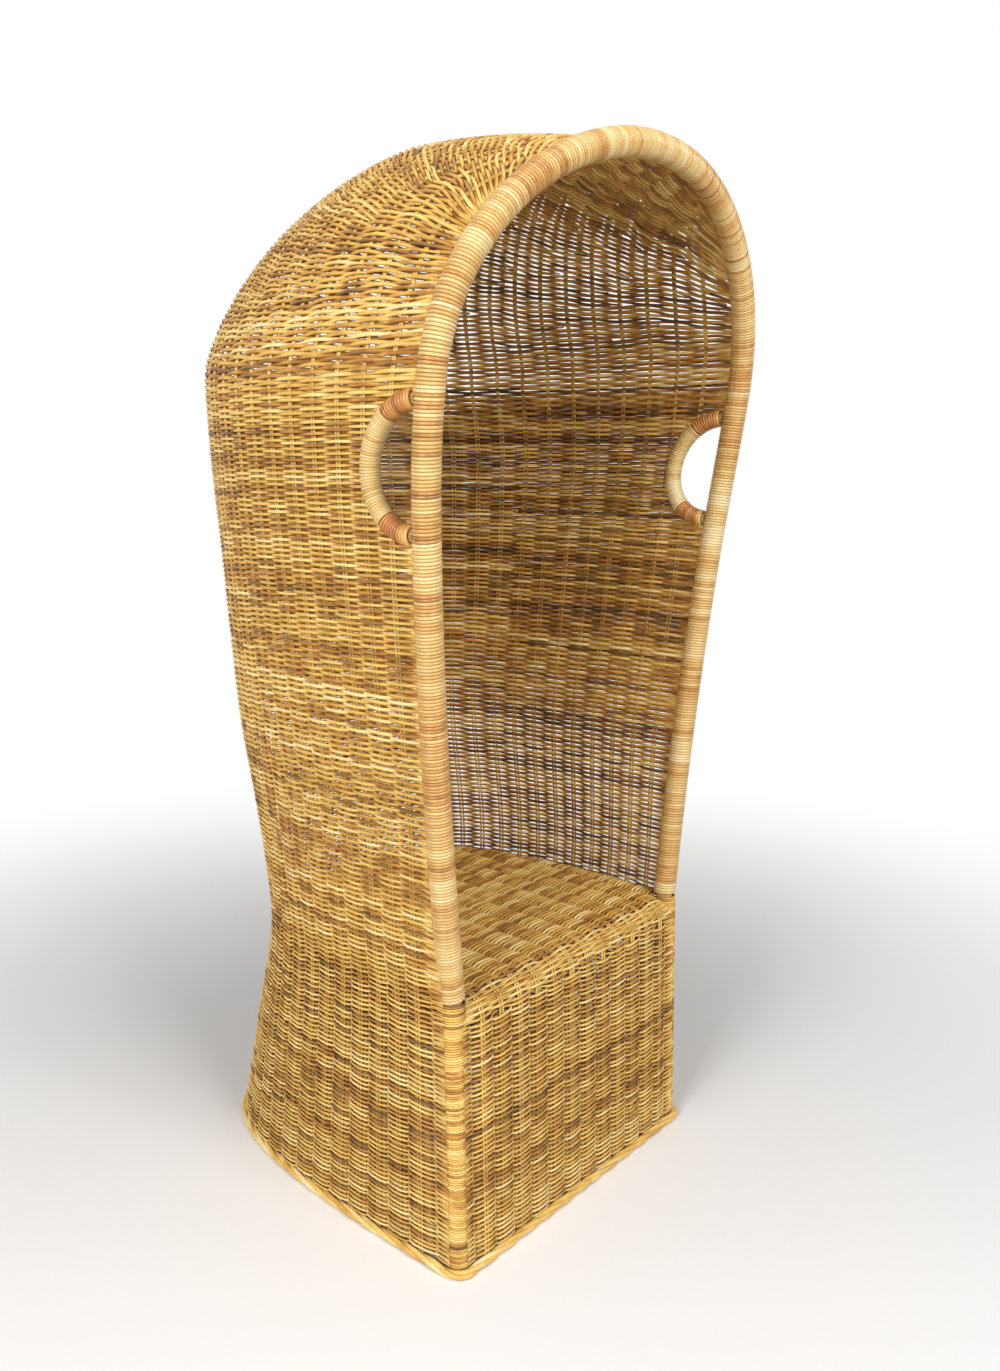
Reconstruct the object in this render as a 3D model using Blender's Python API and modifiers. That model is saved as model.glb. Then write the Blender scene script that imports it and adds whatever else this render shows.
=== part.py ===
"""Hooded porter's chair: woven rattan skin on a bent pole frame.

Metres, +Z up. The sitter faces -Y, X runs from left to right across the chair as the viewer in front sees it,
and the origin is on the floor under the middle of the whole chair.
Below, "depth" is a distance back (+Y) from the line of the front legs at seat level.
"""
import math

import bmesh
import bpy
import numpy as np
from mathutils import Vector

# Heights above the floor
SEAT_TOP = 0.450
SPRING_HEIGHT = 1.350

# How far the arch rises over its spring line, the crown over the arch, and the last level row over the spring line
ARCH_RISE = 0.330
CROWN_RISE = 0.052
LEVEL_ROWS_RISE = 0.054

# How far below the spring line the hoop's legs stop being straight, and the hand holes' middles lie
KNEE_DROP = 0.250
HANDLE_DROP = 0.117

# Half widths of the front hoop, to the middle of its pole
HALF_AT_FLOOR = 0.292
HALF_AT_SEAT = 0.293
HALF_AT_KNEE = 0.368
HALF_AT_SPRING = 0.388

# How far the hoop leans forward: feet, even lean up to the top, and the extra nod of its brow
FOOT_LEAD = 0.013
ARCH_LEAN = 0.086
BROW_NOD = 0.0456

# Where the back's outer face is measured on its middle line: above the floor, above the seat, and twice below
# the last level row; then its depths, from the floor up to the widest place
SHIN_HEIGHT = 0.200
LUMBAR_RISE = 0.300
BLADE_DROP = 0.354
HEAD_DROP = 0.104
FLOOR_DEPTH = 0.684
SHIN_DEPTH = 0.627
WAIST_DEPTH = 0.565
LUMBAR_DEPTH = 0.6355
BLADE_DEPTH = 0.651
HEAD_DEPTH = 0.689
SHOULDER_DEPTH = 0.7075
CROWN_DEPTH = 0.236

# Squareness of the level rows (2 is an ellipse) and of the dome's profile
BASE_SQUARENESS = 3.44
BODY_SQUARENESS = 3.19
DOME_SQUARENESS = 2.55
PROFILE_SQUARENESS = 1.65
FAN_POWER = 0.9
BLEND_HEIGHT = 0.300
DOME_BLEND_DROP = 0.404
DOME_BLEND_REACH = 0.500
SKIN_FLARE = 0.004

# Thicknesses of the poles and canes, and the clearance between touching pieces
GAP = 0.0003
SKIN = 0.0075
HOOP_RADIUS = 0.0155
BINDING = 0.0040
LEG_RADIUS = 0.0140
LEG_INSET = 0.0045
RAIL_RADIUS = 0.0110
SLAT_RADIUS = 0.0070
BORDER_RADIUS = 0.0080
FOOT_RAIL_HEIGHT = 0.050
RAIL_SPARE = 0.002
ROLL_RADIUS = 0.040
SEAM_DEPTH = 0.400

# Hand holes and what is wound on their rings
HANDLE_HALF = 0.0885
HANDLE_REACH = 0.085
HANDLE_CORE_RADIUS = 0.0100
HANDLE_WRAP = 0.0035
HAND_HOLE_SPARE = 0.0010
LASHING_RADIUS = 0.0024
LASHING_SPACE = 0.0017
LASHING_TURNS = 8
TURN_POINTS = 12
TURN_SIDES = 6

# Lengths for the making only: how far a cut runs past its piece, and the steps along the border
CUT_OVERRUN = 0.080
BORDER_STEP = 0.045

# Counts
POLE_SIDES = 10
BORDER_SIDES = 8
SLATS = 5
SKIN_COLUMNS = 36
DOME_ROWS = 18
ROW_SAMPLES = 240
PROFILE_SAMPLES = 300
FOOT_STEPS = 3
LEG_STEPS = 10
ARCH_STEPS = 14
ROLL_STEPS = 6
CORNER_STEPS = 6
HOLE_STEPS = 16
RING_STEPS = 24

# Shares of the sizes they are used with
FAN_END_SHARE = 0.803
LAST_FAN_SHARE = 0.988
LEVEL_SHARES = (0.06, 0.14, 0.22, 0.31, 0.40, 0.50, 0.62, 0.75, 0.88, 1.0)
REAR_CORNER_SHARE = 0.75
SLAT_SPAN_SHARE = 0.62
POST_SPAN_SHARES = (-0.2, 1.2)
LEG_SPAN_SHARES = (-0.1, 1.1)

# Angles
ROLL_RAIL_ANGLE = math.radians(52)
SHARP_ANGLE = math.radians(40)

COLOURS = {
    "pole": (0.55, 0.33, 0.13),
    "binding": (0.74, 0.50, 0.20),
    "lashing": (0.42, 0.17, 0.06),
    "weave": (0.60, 0.36, 0.12),
    "border": (0.70, 0.46, 0.18),
}
ROUGHNESS = {"pole": 0.5, "binding": 0.35, "lashing": 0.4, "weave": 0.55, "border": 0.45}

# What follows from the sizes above
ARCH_TOP = SPRING_HEIGHT + ARCH_RISE
CROWN_TOP = ARCH_TOP + CROWN_RISE
LEVEL_ROWS_TOP = SPRING_HEIGHT + LEVEL_ROWS_RISE
FAN_END_HEIGHT = SPRING_HEIGHT + FAN_END_SHARE * ARCH_RISE
KNEE_HEIGHT = SPRING_HEIGHT - KNEE_DROP
HANDLE_HEIGHT = SPRING_HEIGHT - HANDLE_DROP
LUMBAR_HEIGHT = SEAT_TOP + LUMBAR_RISE
BLADE_HEIGHT = LEVEL_ROWS_TOP - BLADE_DROP
HEAD_HEIGHT = LEVEL_ROWS_TOP - HEAD_DROP
DOME_BLEND_START = LEVEL_ROWS_TOP - DOME_BLEND_DROP
WELD_DISTANCE = GAP / 30
CUT_DISTANCE = GAP / 300
RAIL_STAGGER = 2 * RAIL_RADIUS + RAIL_SPARE
LASHING_PITCH = 2 * LASHING_RADIUS + LASHING_SPACE
BASE_OUT = HOOP_RADIUS + GAP + SKIN
BORE_RADIUS = (HOOP_RADIUS + GAP) / math.cos(math.pi / POLE_SIDES)
BINDING_RADIUS = BORE_RADIUS + BINDING
CLEAR_RADIUS = (BINDING_RADIUS + GAP) / math.cos(math.pi / POLE_SIDES)
BORDER_OUT = HOOP_RADIUS + GAP + BORDER_RADIUS
SKIN_BOTTOM = 2 * BORDER_RADIUS + GAP
LASHING_TURN_RADIUS = (HANDLE_CORE_RADIUS + GAP + LASHING_RADIUS) / math.cos(math.pi / TURN_POINTS)
RING_RADIUS = LASHING_TURN_RADIUS + LASHING_RADIUS
LEG_TOP = SEAT_TOP - SKIN - GAP
LEG_SLOPE = (HALF_AT_KNEE - HALF_AT_SEAT) / (KNEE_HEIGHT - SEAT_TOP)
BINDING_START = SEAT_TOP + BINDING_RADIUS * LEG_SLOPE + GAP


def clear_scene():
    """Start from an empty scene."""
    for obj in list(bpy.data.objects):
        bpy.data.objects.remove(obj, do_unlink=True)


def make_collection(name):
    """Give a collection linked to the scene."""
    collection = bpy.data.collections.new(name)
    bpy.context.scene.collection.children.link(collection)
    return collection


clear_scene()
PARTS = make_collection("hooded_porters_chair")
CUTTERS = make_collection("cutters")


def material(kind):
    """Give a plain Principled material for one kind of cane."""
    mat = bpy.data.materials.new(kind)
    mat.use_nodes = True
    shader = mat.node_tree.nodes["Principled BSDF"]
    shader.inputs["Base Color"].default_value = (*COLOURS[kind], 1.0)
    shader.inputs["Roughness"].default_value = ROUGHNESS[kind]
    shader.inputs["Metallic"].default_value = 0.0
    return mat


def add_part(name, mesh, kind):
    """Put a mesh in the chair's collection under its own name and material."""
    obj = bpy.data.objects.new(name, mesh)
    PARTS.objects.link(obj)
    mesh.materials.clear()
    mesh.materials.append(material(kind))
    mesh.shade_smooth()
    mesh.set_sharp_from_angle(angle=SHARP_ANGLE)
    return obj


def add_cutter(name, mesh):
    """Put a mesh among the cutters, out of every render."""
    obj = bpy.data.objects.new(name, mesh)
    CUTTERS.objects.link(obj)
    obj.hide_render = True
    obj.display_type = "WIRE"
    return obj


def with_modifiers(obj):
    """Turn an object with modifiers, or a curve, into a plain welded mesh and remove the object."""
    bpy.context.view_layer.update()
    evaluated = obj.evaluated_get(bpy.context.evaluated_depsgraph_get())
    mesh = bpy.data.meshes.new_from_object(evaluated)
    mesh.transform(obj.matrix_world)
    bpy.data.objects.remove(obj, do_unlink=True)
    work = bmesh.new()
    work.from_mesh(mesh)
    bmesh.ops.remove_doubles(work, verts=work.verts, dist=WELD_DISTANCE)
    work.to_mesh(mesh)
    work.free()
    return mesh


def tube_curve(points, radius, sides=POLE_SIDES, capped=True):
    """Give a curve object whose bevel is a tube of so many sides through the points."""
    data = bpy.data.curves.new("tube", "CURVE")
    data.dimensions = "3D"
    data.bevel_depth = radius
    data.bevel_resolution = (sides - 4) // 2
    data.use_fill_caps = capped
    spline = data.splines.new("POLY")
    spline.points.add(len(points) - 1)
    for point, place in zip(spline.points, points):
        point.co = (*place, 1.0)
    obj = bpy.data.objects.new("tube", data)
    CUTTERS.objects.link(obj)
    return obj


def tube(points, radius, sides=POLE_SIDES):
    """Give the closed mesh of a tube through the points."""
    return with_modifiers(tube_curve(points, radius, sides))


def sleeve(points, bore, wall):
    """Give the closed mesh of a hollow sleeve, open at both ends, by thickening an open tube outwards."""
    obj = tube_curve(points, bore, capped=False)
    bare = with_modifiers(obj)
    shell = add_cutter("sleeve", bare)
    thicken(shell, wall, 1.0)
    return with_modifiers(shell)


def thicken(obj, wall, offset):
    """Add a Solidify modifier: offset 1 grows outwards, -1 inwards."""
    solidify = obj.modifiers.new("wall", "SOLIDIFY")
    solidify.thickness = wall
    solidify.offset = offset
    solidify.use_even_offset = False


def combine(mesh, cutter_mesh, operation):
    """Give the mesh after one exact Boolean with a cutter."""
    obj = add_cutter("work", mesh)
    cutter = add_cutter("cutter", cutter_mesh)
    boolean = obj.modifiers.new("cut", "BOOLEAN")
    boolean.operation = operation
    boolean.solver = "EXACT"
    boolean.object = cutter
    result = with_modifiers(obj)
    bpy.data.objects.remove(cutter, do_unlink=True)
    return result


def keep_side(mesh, place, normal):
    """Give a copy of a closed mesh cut by a plane, keeping what the normal points to, with the cut closed."""
    work = bmesh.new()
    work.from_mesh(mesh)
    geometry = work.verts[:] + work.edges[:] + work.faces[:]
    result = bmesh.ops.bisect_plane(work, geom=geometry, dist=CUT_DISTANCE, plane_co=place, plane_no=normal,
                                    clear_inner=True)
    edges = [item for item in result["geom_cut"] if isinstance(item, bmesh.types.BMEdge)]
    bmesh.ops.holes_fill(work, edges=edges, sides=0)
    copy = bpy.data.meshes.new("kept")
    work.to_mesh(copy)
    work.free()
    return copy


def loft(rows):
    """Give an open surface through rows of points, each row with as many points."""
    mesh = bpy.data.meshes.new("loft")
    across = len(rows[0])
    places = [tuple(point) for line in rows for point in line]
    faces = []
    for i in range(len(rows) - 1):
        for j in range(across - 1):
            first = i * across + j
            faces.append((first, first + 1, first + across + 1, first + across))
    mesh.from_pydata(places, [], faces)
    mesh.update()
    return mesh


# The front hoop

def hermite(share, start, end, start_rise, end_rise):
    """Give the cubic that leaves start and meets end with the given rises."""
    square, cube = share ** 2, share ** 3
    return ((1 - 3 * square + 2 * cube) * start + (cube - 2 * square + share) * start_rise
            + (3 * square - 2 * cube) * end + (cube - square) * end_rise)


def hoop_half(height):
    """Half width of the hoop at a height, on the pole's middle line."""
    if height < SEAT_TOP:
        return HALF_AT_FLOOR + (HALF_AT_SEAT - HALF_AT_FLOOR) * height / SEAT_TOP
    if height < KNEE_HEIGHT:
        return HALF_AT_SEAT + LEG_SLOPE * (height - SEAT_TOP)
    if height < SPRING_HEIGHT:
        reach = SPRING_HEIGHT - KNEE_HEIGHT
        return hermite((height - KNEE_HEIGHT) / reach, HALF_AT_KNEE, HALF_AT_SPRING, LEG_SLOPE * reach, 0.0)
    share = min((height - SPRING_HEIGHT) / ARCH_RISE, 1.0)
    return HALF_AT_SPRING * math.sqrt(1 - share ** 2)


def hoop_depth(height):
    """Depth of the hoop's middle line at a height; forward is negative."""
    if height < SEAT_TOP:
        return -FOOT_LEAD * (1 - height / SEAT_TOP)
    share = (height - SEAT_TOP) / (ARCH_TOP - SEAT_TOP)
    return -(ARCH_LEAN * share ** 2 + BROW_NOD * share ** 6)


def hoop_side(heights):
    """Points of the hoop's right half at the given heights."""
    return [(hoop_half(h), hoop_depth(h), h) for h in heights]


def hoop_points(start, low_steps):
    """Points along the whole hoop, from the left end at start height over the arch to the right end."""
    heights = list(np.linspace(start, BINDING_START, low_steps + 1))[:-1] if low_steps else []
    heights += list(np.linspace(BINDING_START, SPRING_HEIGHT, LEG_STEPS + 1))[:-1]
    turns = np.linspace(0, math.pi / 2, ARCH_STEPS + 1)
    heights += [SPRING_HEIGHT + ARCH_RISE * math.sin(turn) for turn in turns]
    right = hoop_side(heights)
    left = [(-x, y, z) for x, y, z in right]
    return left + right[-2::-1]


def build_hoop():
    """The bent pole from floor to floor, its feet cut level, and the cane binding above the seat."""
    points = hoop_points(-CUT_OVERRUN, FOOT_STEPS)
    pole = keep_side(tube(points, HOOP_RADIUS), (0, 0, 0), (0, 0, 1))
    add_part("front_hoop_pole", pole, "pole")
    wound = hoop_points(BINDING_START, 0)
    add_part("arch_binding", sleeve(wound, BORE_RADIUS, BINDING), "binding")


def hoop_clearance():
    """The bound hoop and its gap, as a cutter."""
    return tube(hoop_points(SEAT_TOP - CUT_OVERRUN, 1), CLEAR_RADIUS)


# The woven skin's outer face

def smooth_through(places, values, end_slope):
    """Give a function that runs smoothly through the values at the places."""
    steps = np.diff(places)
    slopes = np.diff(values) / steps
    tangents = [slopes[0]]
    for i in range(1, len(places) - 1):
        tangents.append((slopes[i - 1] * steps[i] + slopes[i] * steps[i - 1]) / (steps[i - 1] + steps[i]))
    tangents.append(end_slope)

    def value(place):
        i = min(max(int(np.searchsorted(places, place)) - 1, 0), len(steps) - 1)
        share = (place - places[i]) / steps[i]
        return hermite(share, values[i], values[i + 1], tangents[i] * steps[i], tangents[i + 1] * steps[i])
    return value


BACK_HEIGHTS = (0.0, SHIN_HEIGHT, SEAT_TOP, LUMBAR_HEIGHT, BLADE_HEIGHT, HEAD_HEIGHT, LEVEL_ROWS_TOP)
BACK_DEPTHS = (FLOOR_DEPTH, SHIN_DEPTH, WAIST_DEPTH, LUMBAR_DEPTH, BLADE_DEPTH, HEAD_DEPTH, SHOULDER_DEPTH)
back_depth = smooth_through(BACK_HEIGHTS, BACK_DEPTHS, 0.0)


def dome_profile():
    """Depth and height of the dome on the middle line, from the shoulder over the crown to the arch top."""
    rise = CROWN_TOP - LEVEL_ROWS_TOP
    power = 2 / PROFILE_SQUARENESS
    line = []
    for turn in np.linspace(0, math.pi / 2, PROFILE_SAMPLES):
        across = max(math.cos(turn), 0.0) ** power
        line.append((CROWN_DEPTH + (SHOULDER_DEPTH - CROWN_DEPTH) * across,
                     LEVEL_ROWS_TOP + rise * math.sin(turn) ** power))
    share = math.sqrt(1 - ((ARCH_TOP - LEVEL_ROWS_TOP) / rise) ** 2)
    reach = (CROWN_DEPTH - hoop_depth(ARCH_TOP)) / share
    for turn in np.linspace(0, math.asin(share), PROFILE_SAMPLES)[1:]:
        line.append((CROWN_DEPTH - reach * math.sin(turn), LEVEL_ROWS_TOP + rise * math.cos(turn)))
    return np.array(line)


def lengths_along(points):
    """Length along a line of points, from its start to each point."""
    return np.concatenate([[0.0], np.cumsum(np.linalg.norm(np.diff(points, axis=0), axis=1))])


DOME_LINE = dome_profile()
DOME_LENGTHS = lengths_along(DOME_LINE)
FAN_HEIGHTS = np.linspace(LEVEL_ROWS_TOP, FAN_END_HEIGHT, PROFILE_SAMPLES)
FAN_LINE = np.array(hoop_side(FAN_HEIGHTS))
FAN_LENGTHS = lengths_along(FAN_LINE)


def eased(share):
    """Ease a share from 0 to 1 with no slope at its ends."""
    share = min(max(share, 0.0), 1.0)
    return share * share * (3 - 2 * share)


def squareness(height):
    """How square the level row is at a height."""
    ease = eased((height - SEAT_TOP) / BLEND_HEIGHT)
    dome = min(max((height - DOME_BLEND_START) / DOME_BLEND_REACH, 0.0), 1.0)
    upper = BODY_SQUARENESS + (DOME_SQUARENESS - BODY_SQUARENESS) * dome
    return BASE_SQUARENESS + (upper - BASE_SQUARENESS) * ease


def skin_stand(height):
    """How far the skin's outer face stands outside the hoop's middle line."""
    return BASE_OUT + (SKIN_FLARE - BASE_OUT) * eased((height - SEAT_TOP) / BLEND_HEIGHT)


def row_points(half, front, front_height, back, back_height, power, fan, samples=ROW_SAMPLES):
    """Points of one row, from its left end round the back to its right end.

    fan is 0 for a level row and 1 for a row that lies along the arch itself.
    """
    points = []
    for turn in np.linspace(0, math.pi, samples):
        across = -math.copysign(abs(math.cos(turn)) ** (2 / power), math.cos(turn))
        depth = max(math.sin(turn), 0.0) ** (2 / power)
        if fan > 0:
            arch = SPRING_HEIGHT + ARCH_RISE * math.sqrt(max(1 - (across * half / HALF_AT_SPRING) ** 2, 0.0))
            over = min(max((arch - front_height) / (ARCH_TOP - front_height), 0.0), 1.0)
            depth = (1 - fan) * depth + fan * over
        points.append((half * across, front + (back - front) * depth,
                       front_height + (back_height - front_height) * depth))
    return np.array(points)


def level_row(height, out=0.0):
    """One level row, its line moved outwards by out."""
    half = hoop_half(height) + skin_stand(height) + out
    front = hoop_depth(height)
    return row_points(half, front, height, back_depth(height) + out, height, squareness(height), 0.0)


def fan_row(share):
    """One row of the dome: share 0 is the last level row, 1 lies on the arch."""
    start = [np.interp(share * FAN_LENGTHS[-1], FAN_LENGTHS, FAN_LINE[:, axis]) for axis in range(3)]
    depth, height = [np.interp(share * DOME_LENGTHS[-1], DOME_LENGTHS, DOME_LINE[:, axis]) for axis in range(2)]
    half = start[0] + SKIN_FLARE * (1 - share)
    return row_points(half, start[1], start[2], depth, height, squareness(height), share ** FAN_POWER)


def evenly(points, count):
    """Give count points spaced evenly along a line of points."""
    lengths = lengths_along(points)
    places = np.linspace(0, lengths[-1], count)
    return np.stack([np.interp(places, lengths, points[:, axis]) for axis in range(3)], axis=1)


def build_skin():
    """The whole skin as one closed shell, which the panels are cut from."""
    heights = [0.0, SHIN_HEIGHT / 2, SHIN_HEIGHT, (SHIN_HEIGHT + SEAT_TOP) / 2, SEAT_TOP]
    heights += [SEAT_TOP + (LEVEL_ROWS_TOP - SEAT_TOP) * share for share in LEVEL_SHARES]
    rows = [level_row(height) for height in heights]
    rows += [fan_row(share) for share in np.linspace(0, LAST_FAN_SHARE, DOME_ROWS + 1)[1:]]
    surface = add_cutter("skin", loft([evenly(row, SKIN_COLUMNS + 1)[::-1] for row in rows]))
    thicken(surface, SKIN, -1.0)
    return with_modifiers(surface)


def hand_hole_cutter(side):
    """A D-shaped bar across one side wall, as large as the handle ring and its gap."""
    outline = []
    size = RING_RADIUS + HAND_HOLE_SPARE
    for turn in np.linspace(0, math.pi, HOLE_STEPS + 1):
        start = handle_start(HANDLE_HEIGHT + HANDLE_HALF * math.cos(turn))
        height = HANDLE_HEIGHT + (HANDLE_HALF + size) * math.cos(turn)
        outline.append((start + (HANDLE_REACH + size) * math.sin(turn), height))
    outline.append((hoop_depth(HANDLE_HEIGHT), HANDLE_HEIGHT - HANDLE_HALF - size))
    outline.append((hoop_depth(HANDLE_HEIGHT), HANDLE_HEIGHT + HANDLE_HALF + size))
    data = bpy.data.curves.new("hand_hole", "CURVE")
    data.dimensions = "2D"
    data.fill_mode = "BOTH"
    data.extrude = CUT_OVERRUN
    spline = data.splines.new("POLY")
    spline.points.add(len(outline) - 1)
    for point, (depth, height) in zip(spline.points, outline):
        point.co = (depth, height, 0.0, 1.0)
    spline.use_cyclic_u = True
    obj = bpy.data.objects.new("hand_hole", data)
    CUTTERS.objects.link(obj)
    obj.rotation_euler = (math.pi / 2, 0, math.pi / 2)
    obj.location = (side * hoop_half(HANDLE_HEIGHT), 0, 0)
    return with_modifiers(obj)


def half_of(mesh, side):
    """Keep the left (-1) or right (1) half of a mesh."""
    return keep_side(mesh, (0, 0, 0), (side, 0, 0))


def post_plane(mesh, out, sign):
    """Cut a mesh along the sloping plane of the front posts, moved back by out; sign 1 keeps what is behind."""
    slope = Vector((0, SEAT_TOP, -FOOT_LEAD)).normalized()
    return keep_side(mesh, (0, out, SEAT_TOP), slope * sign)


def build_panels():
    """Cut the skin into the panels that a stranger would name."""
    skin = build_skin()
    half_gap = GAP / 2
    upper = combine(keep_side(skin, (0, 0, SEAT_TOP + half_gap), (0, 0, 1)), hoop_clearance(), "DIFFERENCE")
    for side in (-1, 1):
        upper = combine(upper, hand_hole_cutter(side), "DIFFERENCE")
    add_part("hood_weave", keep_side(upper, (0, 0, SPRING_HEIGHT + half_gap), (0, 0, 1)), "weave")
    body = keep_side(upper, (0, 0, SPRING_HEIGHT - half_gap), (0, 0, -1))
    add_part("back_weave", keep_side(body, (0, SEAM_DEPTH + half_gap, 0), (0, 1, 0)), "weave")
    sides = keep_side(body, (0, SEAM_DEPTH - half_gap, 0), (0, -1, 0))
    base = keep_side(skin, (0, 0, SEAT_TOP - half_gap), (0, 0, -1))
    base = keep_side(base, (0, 0, SKIN_BOTTOM), (0, 0, 1))
    add_part("base_weave_back", keep_side(base, (0, SEAM_DEPTH + half_gap, 0), (0, 1, 0)), "weave")
    base_sides = keep_side(base, (0, SEAM_DEPTH - half_gap, 0), (0, -1, 0))
    base_sides = post_plane(base_sides, half_gap, 1)
    for side, word in ((-1, "left"), (1, "right")):
        add_part("side_weave_" + word, half_of(sides, side), "weave")
        add_part("base_weave_" + word, half_of(base_sides, side), "weave")


def roll_centre():
    """Depth and height of the middle of the seat's rounded front edge."""
    height = SEAT_TOP - ROLL_RADIUS
    return hoop_depth(height) - BASE_OUT + ROLL_RADIUS, height


def build_corner_wraps():
    """The wefts that turn round each front post, below the seat."""
    for side, word in ((-1, "left"), (1, "right")):
        low = (side * HALF_AT_FLOOR, -FOOT_LEAD, 0.0)
        top = (side * HALF_AT_SEAT, 0.0, SEAT_TOP)
        line = [Vector(low).lerp(Vector(top), share) for share in POST_SPAN_SHARES]
        wrap = sleeve(line, BORE_RADIUS, BASE_OUT - BORE_RADIUS)
        wrap = post_plane(wrap, -GAP / 2, -1)
        lean = Vector((SEAT_TOP, 0, side * (HALF_AT_FLOOR - HALF_AT_SEAT))).normalized()
        wrap = keep_side(wrap, (side * (HALF_AT_SEAT + GAP / 2), 0, SEAT_TOP), lean * side)
        wrap = keep_side(wrap, (0, 0, SKIN_BOTTOM), (0, 0, 1))
        wrap = keep_side(wrap, (0, 0, SEAT_TOP - GAP / 2), (0, 0, -1))
        add_part("corner_weave_" + word, wrap, "weave")


def build_front_panel():
    """The flat woven front of the base, between the corner posts."""
    low, top = SKIN_BOTTOM, roll_centre()[1] - GAP / 2
    bpy.ops.mesh.primitive_cube_add(size=1.0)
    obj = bpy.context.object
    mesh = obj.data
    for vertex in mesh.vertices:
        height = top if vertex.co.z > 0 else low
        side = 1 if vertex.co.x > 0 else -1
        stand = BASE_OUT if vertex.co.y < 0 else BASE_OUT - SKIN
        vertex.co = (side * (hoop_half(height) - GAP / 2), hoop_depth(height) - stand, height)
    bpy.data.objects.remove(obj, do_unlink=True)
    add_part("base_weave_front", mesh, "weave")


def seat_outline():
    """Plan of the seat: inside the skin, and between the posts along its rounded front."""
    inside = level_row(SEAT_TOP, -SKIN - GAP)
    shoulder = HOOP_RADIUS + 2 * GAP
    outline = [tuple(point[:2]) for point in evenly(inside, SKIN_COLUMNS + 1) if point[1] > 2 * shoulder]
    half = np.interp(shoulder, inside[:ROW_SAMPLES // 3, 1], -inside[:ROW_SAMPLES // 3, 0])
    between = hoop_half(SEAT_TOP - ROLL_RADIUS) - HOOP_RADIUS - 2 * GAP
    front = hoop_depth(SEAT_TOP - ROLL_RADIUS) - CUT_OVERRUN
    right = [(half, shoulder), (between, shoulder), (between, front)]
    return outline + right + [(-x, y) for x, y in reversed(right)]


def build_seat():
    """The woven seat with its rounded front edge."""
    depth, height = roll_centre()
    profile = [(depth - ROLL_RADIUS, height - ROLL_RADIUS / 2)]
    for turn in np.linspace(math.pi, math.pi / 2, ROLL_STEPS + 1):
        profile.append((depth + ROLL_RADIUS * math.cos(turn), height + ROLL_RADIUS * math.sin(turn)))
    profile.append((WAIST_DEPTH + CUT_OVERRUN, SEAT_TOP))
    half = HALF_AT_SEAT + CUT_OVERRUN
    rows = [[(-half, y, z), (half, y, z)] for y, z in profile]
    top = add_cutter("seat", loft(rows))
    thicken(top, SKIN, -1.0)
    slab = with_modifiers(top)
    data = bpy.data.curves.new("seat_plan", "CURVE")
    data.dimensions = "2D"
    data.fill_mode = "BOTH"
    data.extrude = CUT_OVERRUN
    outline = seat_outline()
    spline = data.splines.new("POLY")
    spline.points.add(len(outline) - 1)
    for point, (x, y) in zip(spline.points, outline):
        point.co = (x, y, 0.0, 1.0)
    spline.use_cyclic_u = True
    plan = bpy.data.objects.new("seat_plan", data)
    CUTTERS.objects.link(plan)
    plan.location = (0, 0, SEAT_TOP)
    seat = combine(slab, with_modifiers(plan), "INTERSECT")
    add_part("seat_weave", keep_side(seat, (0, 0, height + GAP / 2), (0, 0, 1)), "weave")


# The pole frame inside the base

def corner_leg_point(height):
    """Middle of the right rear leg at a height, inside the rounded rear corner."""
    row = level_row(height, -SKIN - GAP - LEG_RADIUS - LEG_INSET)
    corner = row[int(REAR_CORNER_SHARE * ROW_SAMPLES)]
    return Vector((corner[0], corner[1], height))


def leg_line():
    """The right rear leg's middle line, straight from the floor to the seat."""
    return corner_leg_point(0.0), corner_leg_point(LEG_TOP)


def leg_place(side, height):
    """Middle of a rear leg at a height."""
    low, top = leg_line()
    place = low.lerp(top, height / LEG_TOP)
    return Vector((side * place.x, place.y, height))


def post_place(side, height):
    """Middle of a front post at a height."""
    return Vector((side * hoop_half(height), hoop_depth(height), height))


def leg_span(side):
    """A rear leg's middle line, run past both its ends."""
    low, top = leg_place(side, 0.0), leg_place(side, LEG_TOP)
    return [low.lerp(top, share) for share in LEG_SPAN_SHARES]


def uprights():
    """The front hoop's pole and both rear legs, each with its gap, as cutters."""
    around = GAP / math.cos(math.pi / POLE_SIDES)
    hoop = tube(hoop_points(-CUT_OVERRUN, FOOT_STEPS), HOOP_RADIUS + around)
    return [hoop] + [tube(leg_span(side), LEG_RADIUS + around) for side in (-1, 1)]


def coped_rail(start, end, cutters):
    """A rail from middle to middle of two uprights, its ends hollowed to fit round them."""
    mesh = tube([start, end], RAIL_RADIUS)
    for cutter in cutters:
        mesh = combine(mesh, cutter.copy(), "DIFFERENCE")
    return mesh


def build_legs():
    """Rear legs, flat on the floor and flat under the seat."""
    for side, word in ((-1, "left"), (1, "right")):
        leg = keep_side(tube(leg_span(side), LEG_RADIUS), (0, 0, 0), (0, 0, 1))
        add_part("rear_leg_" + word, keep_side(leg, (0, 0, LEG_TOP), (0, 0, -1)), "pole")


def seat_rail_place():
    """Depth offset and height of the front seat rail, tucked inside the rounded front edge."""
    depth, height = roll_centre()
    reach = ROLL_RADIUS - SKIN - GAP - RAIL_RADIUS
    return depth - reach * math.cos(ROLL_RAIL_ANGLE), height + reach * math.sin(ROLL_RAIL_ANGLE)


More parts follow.
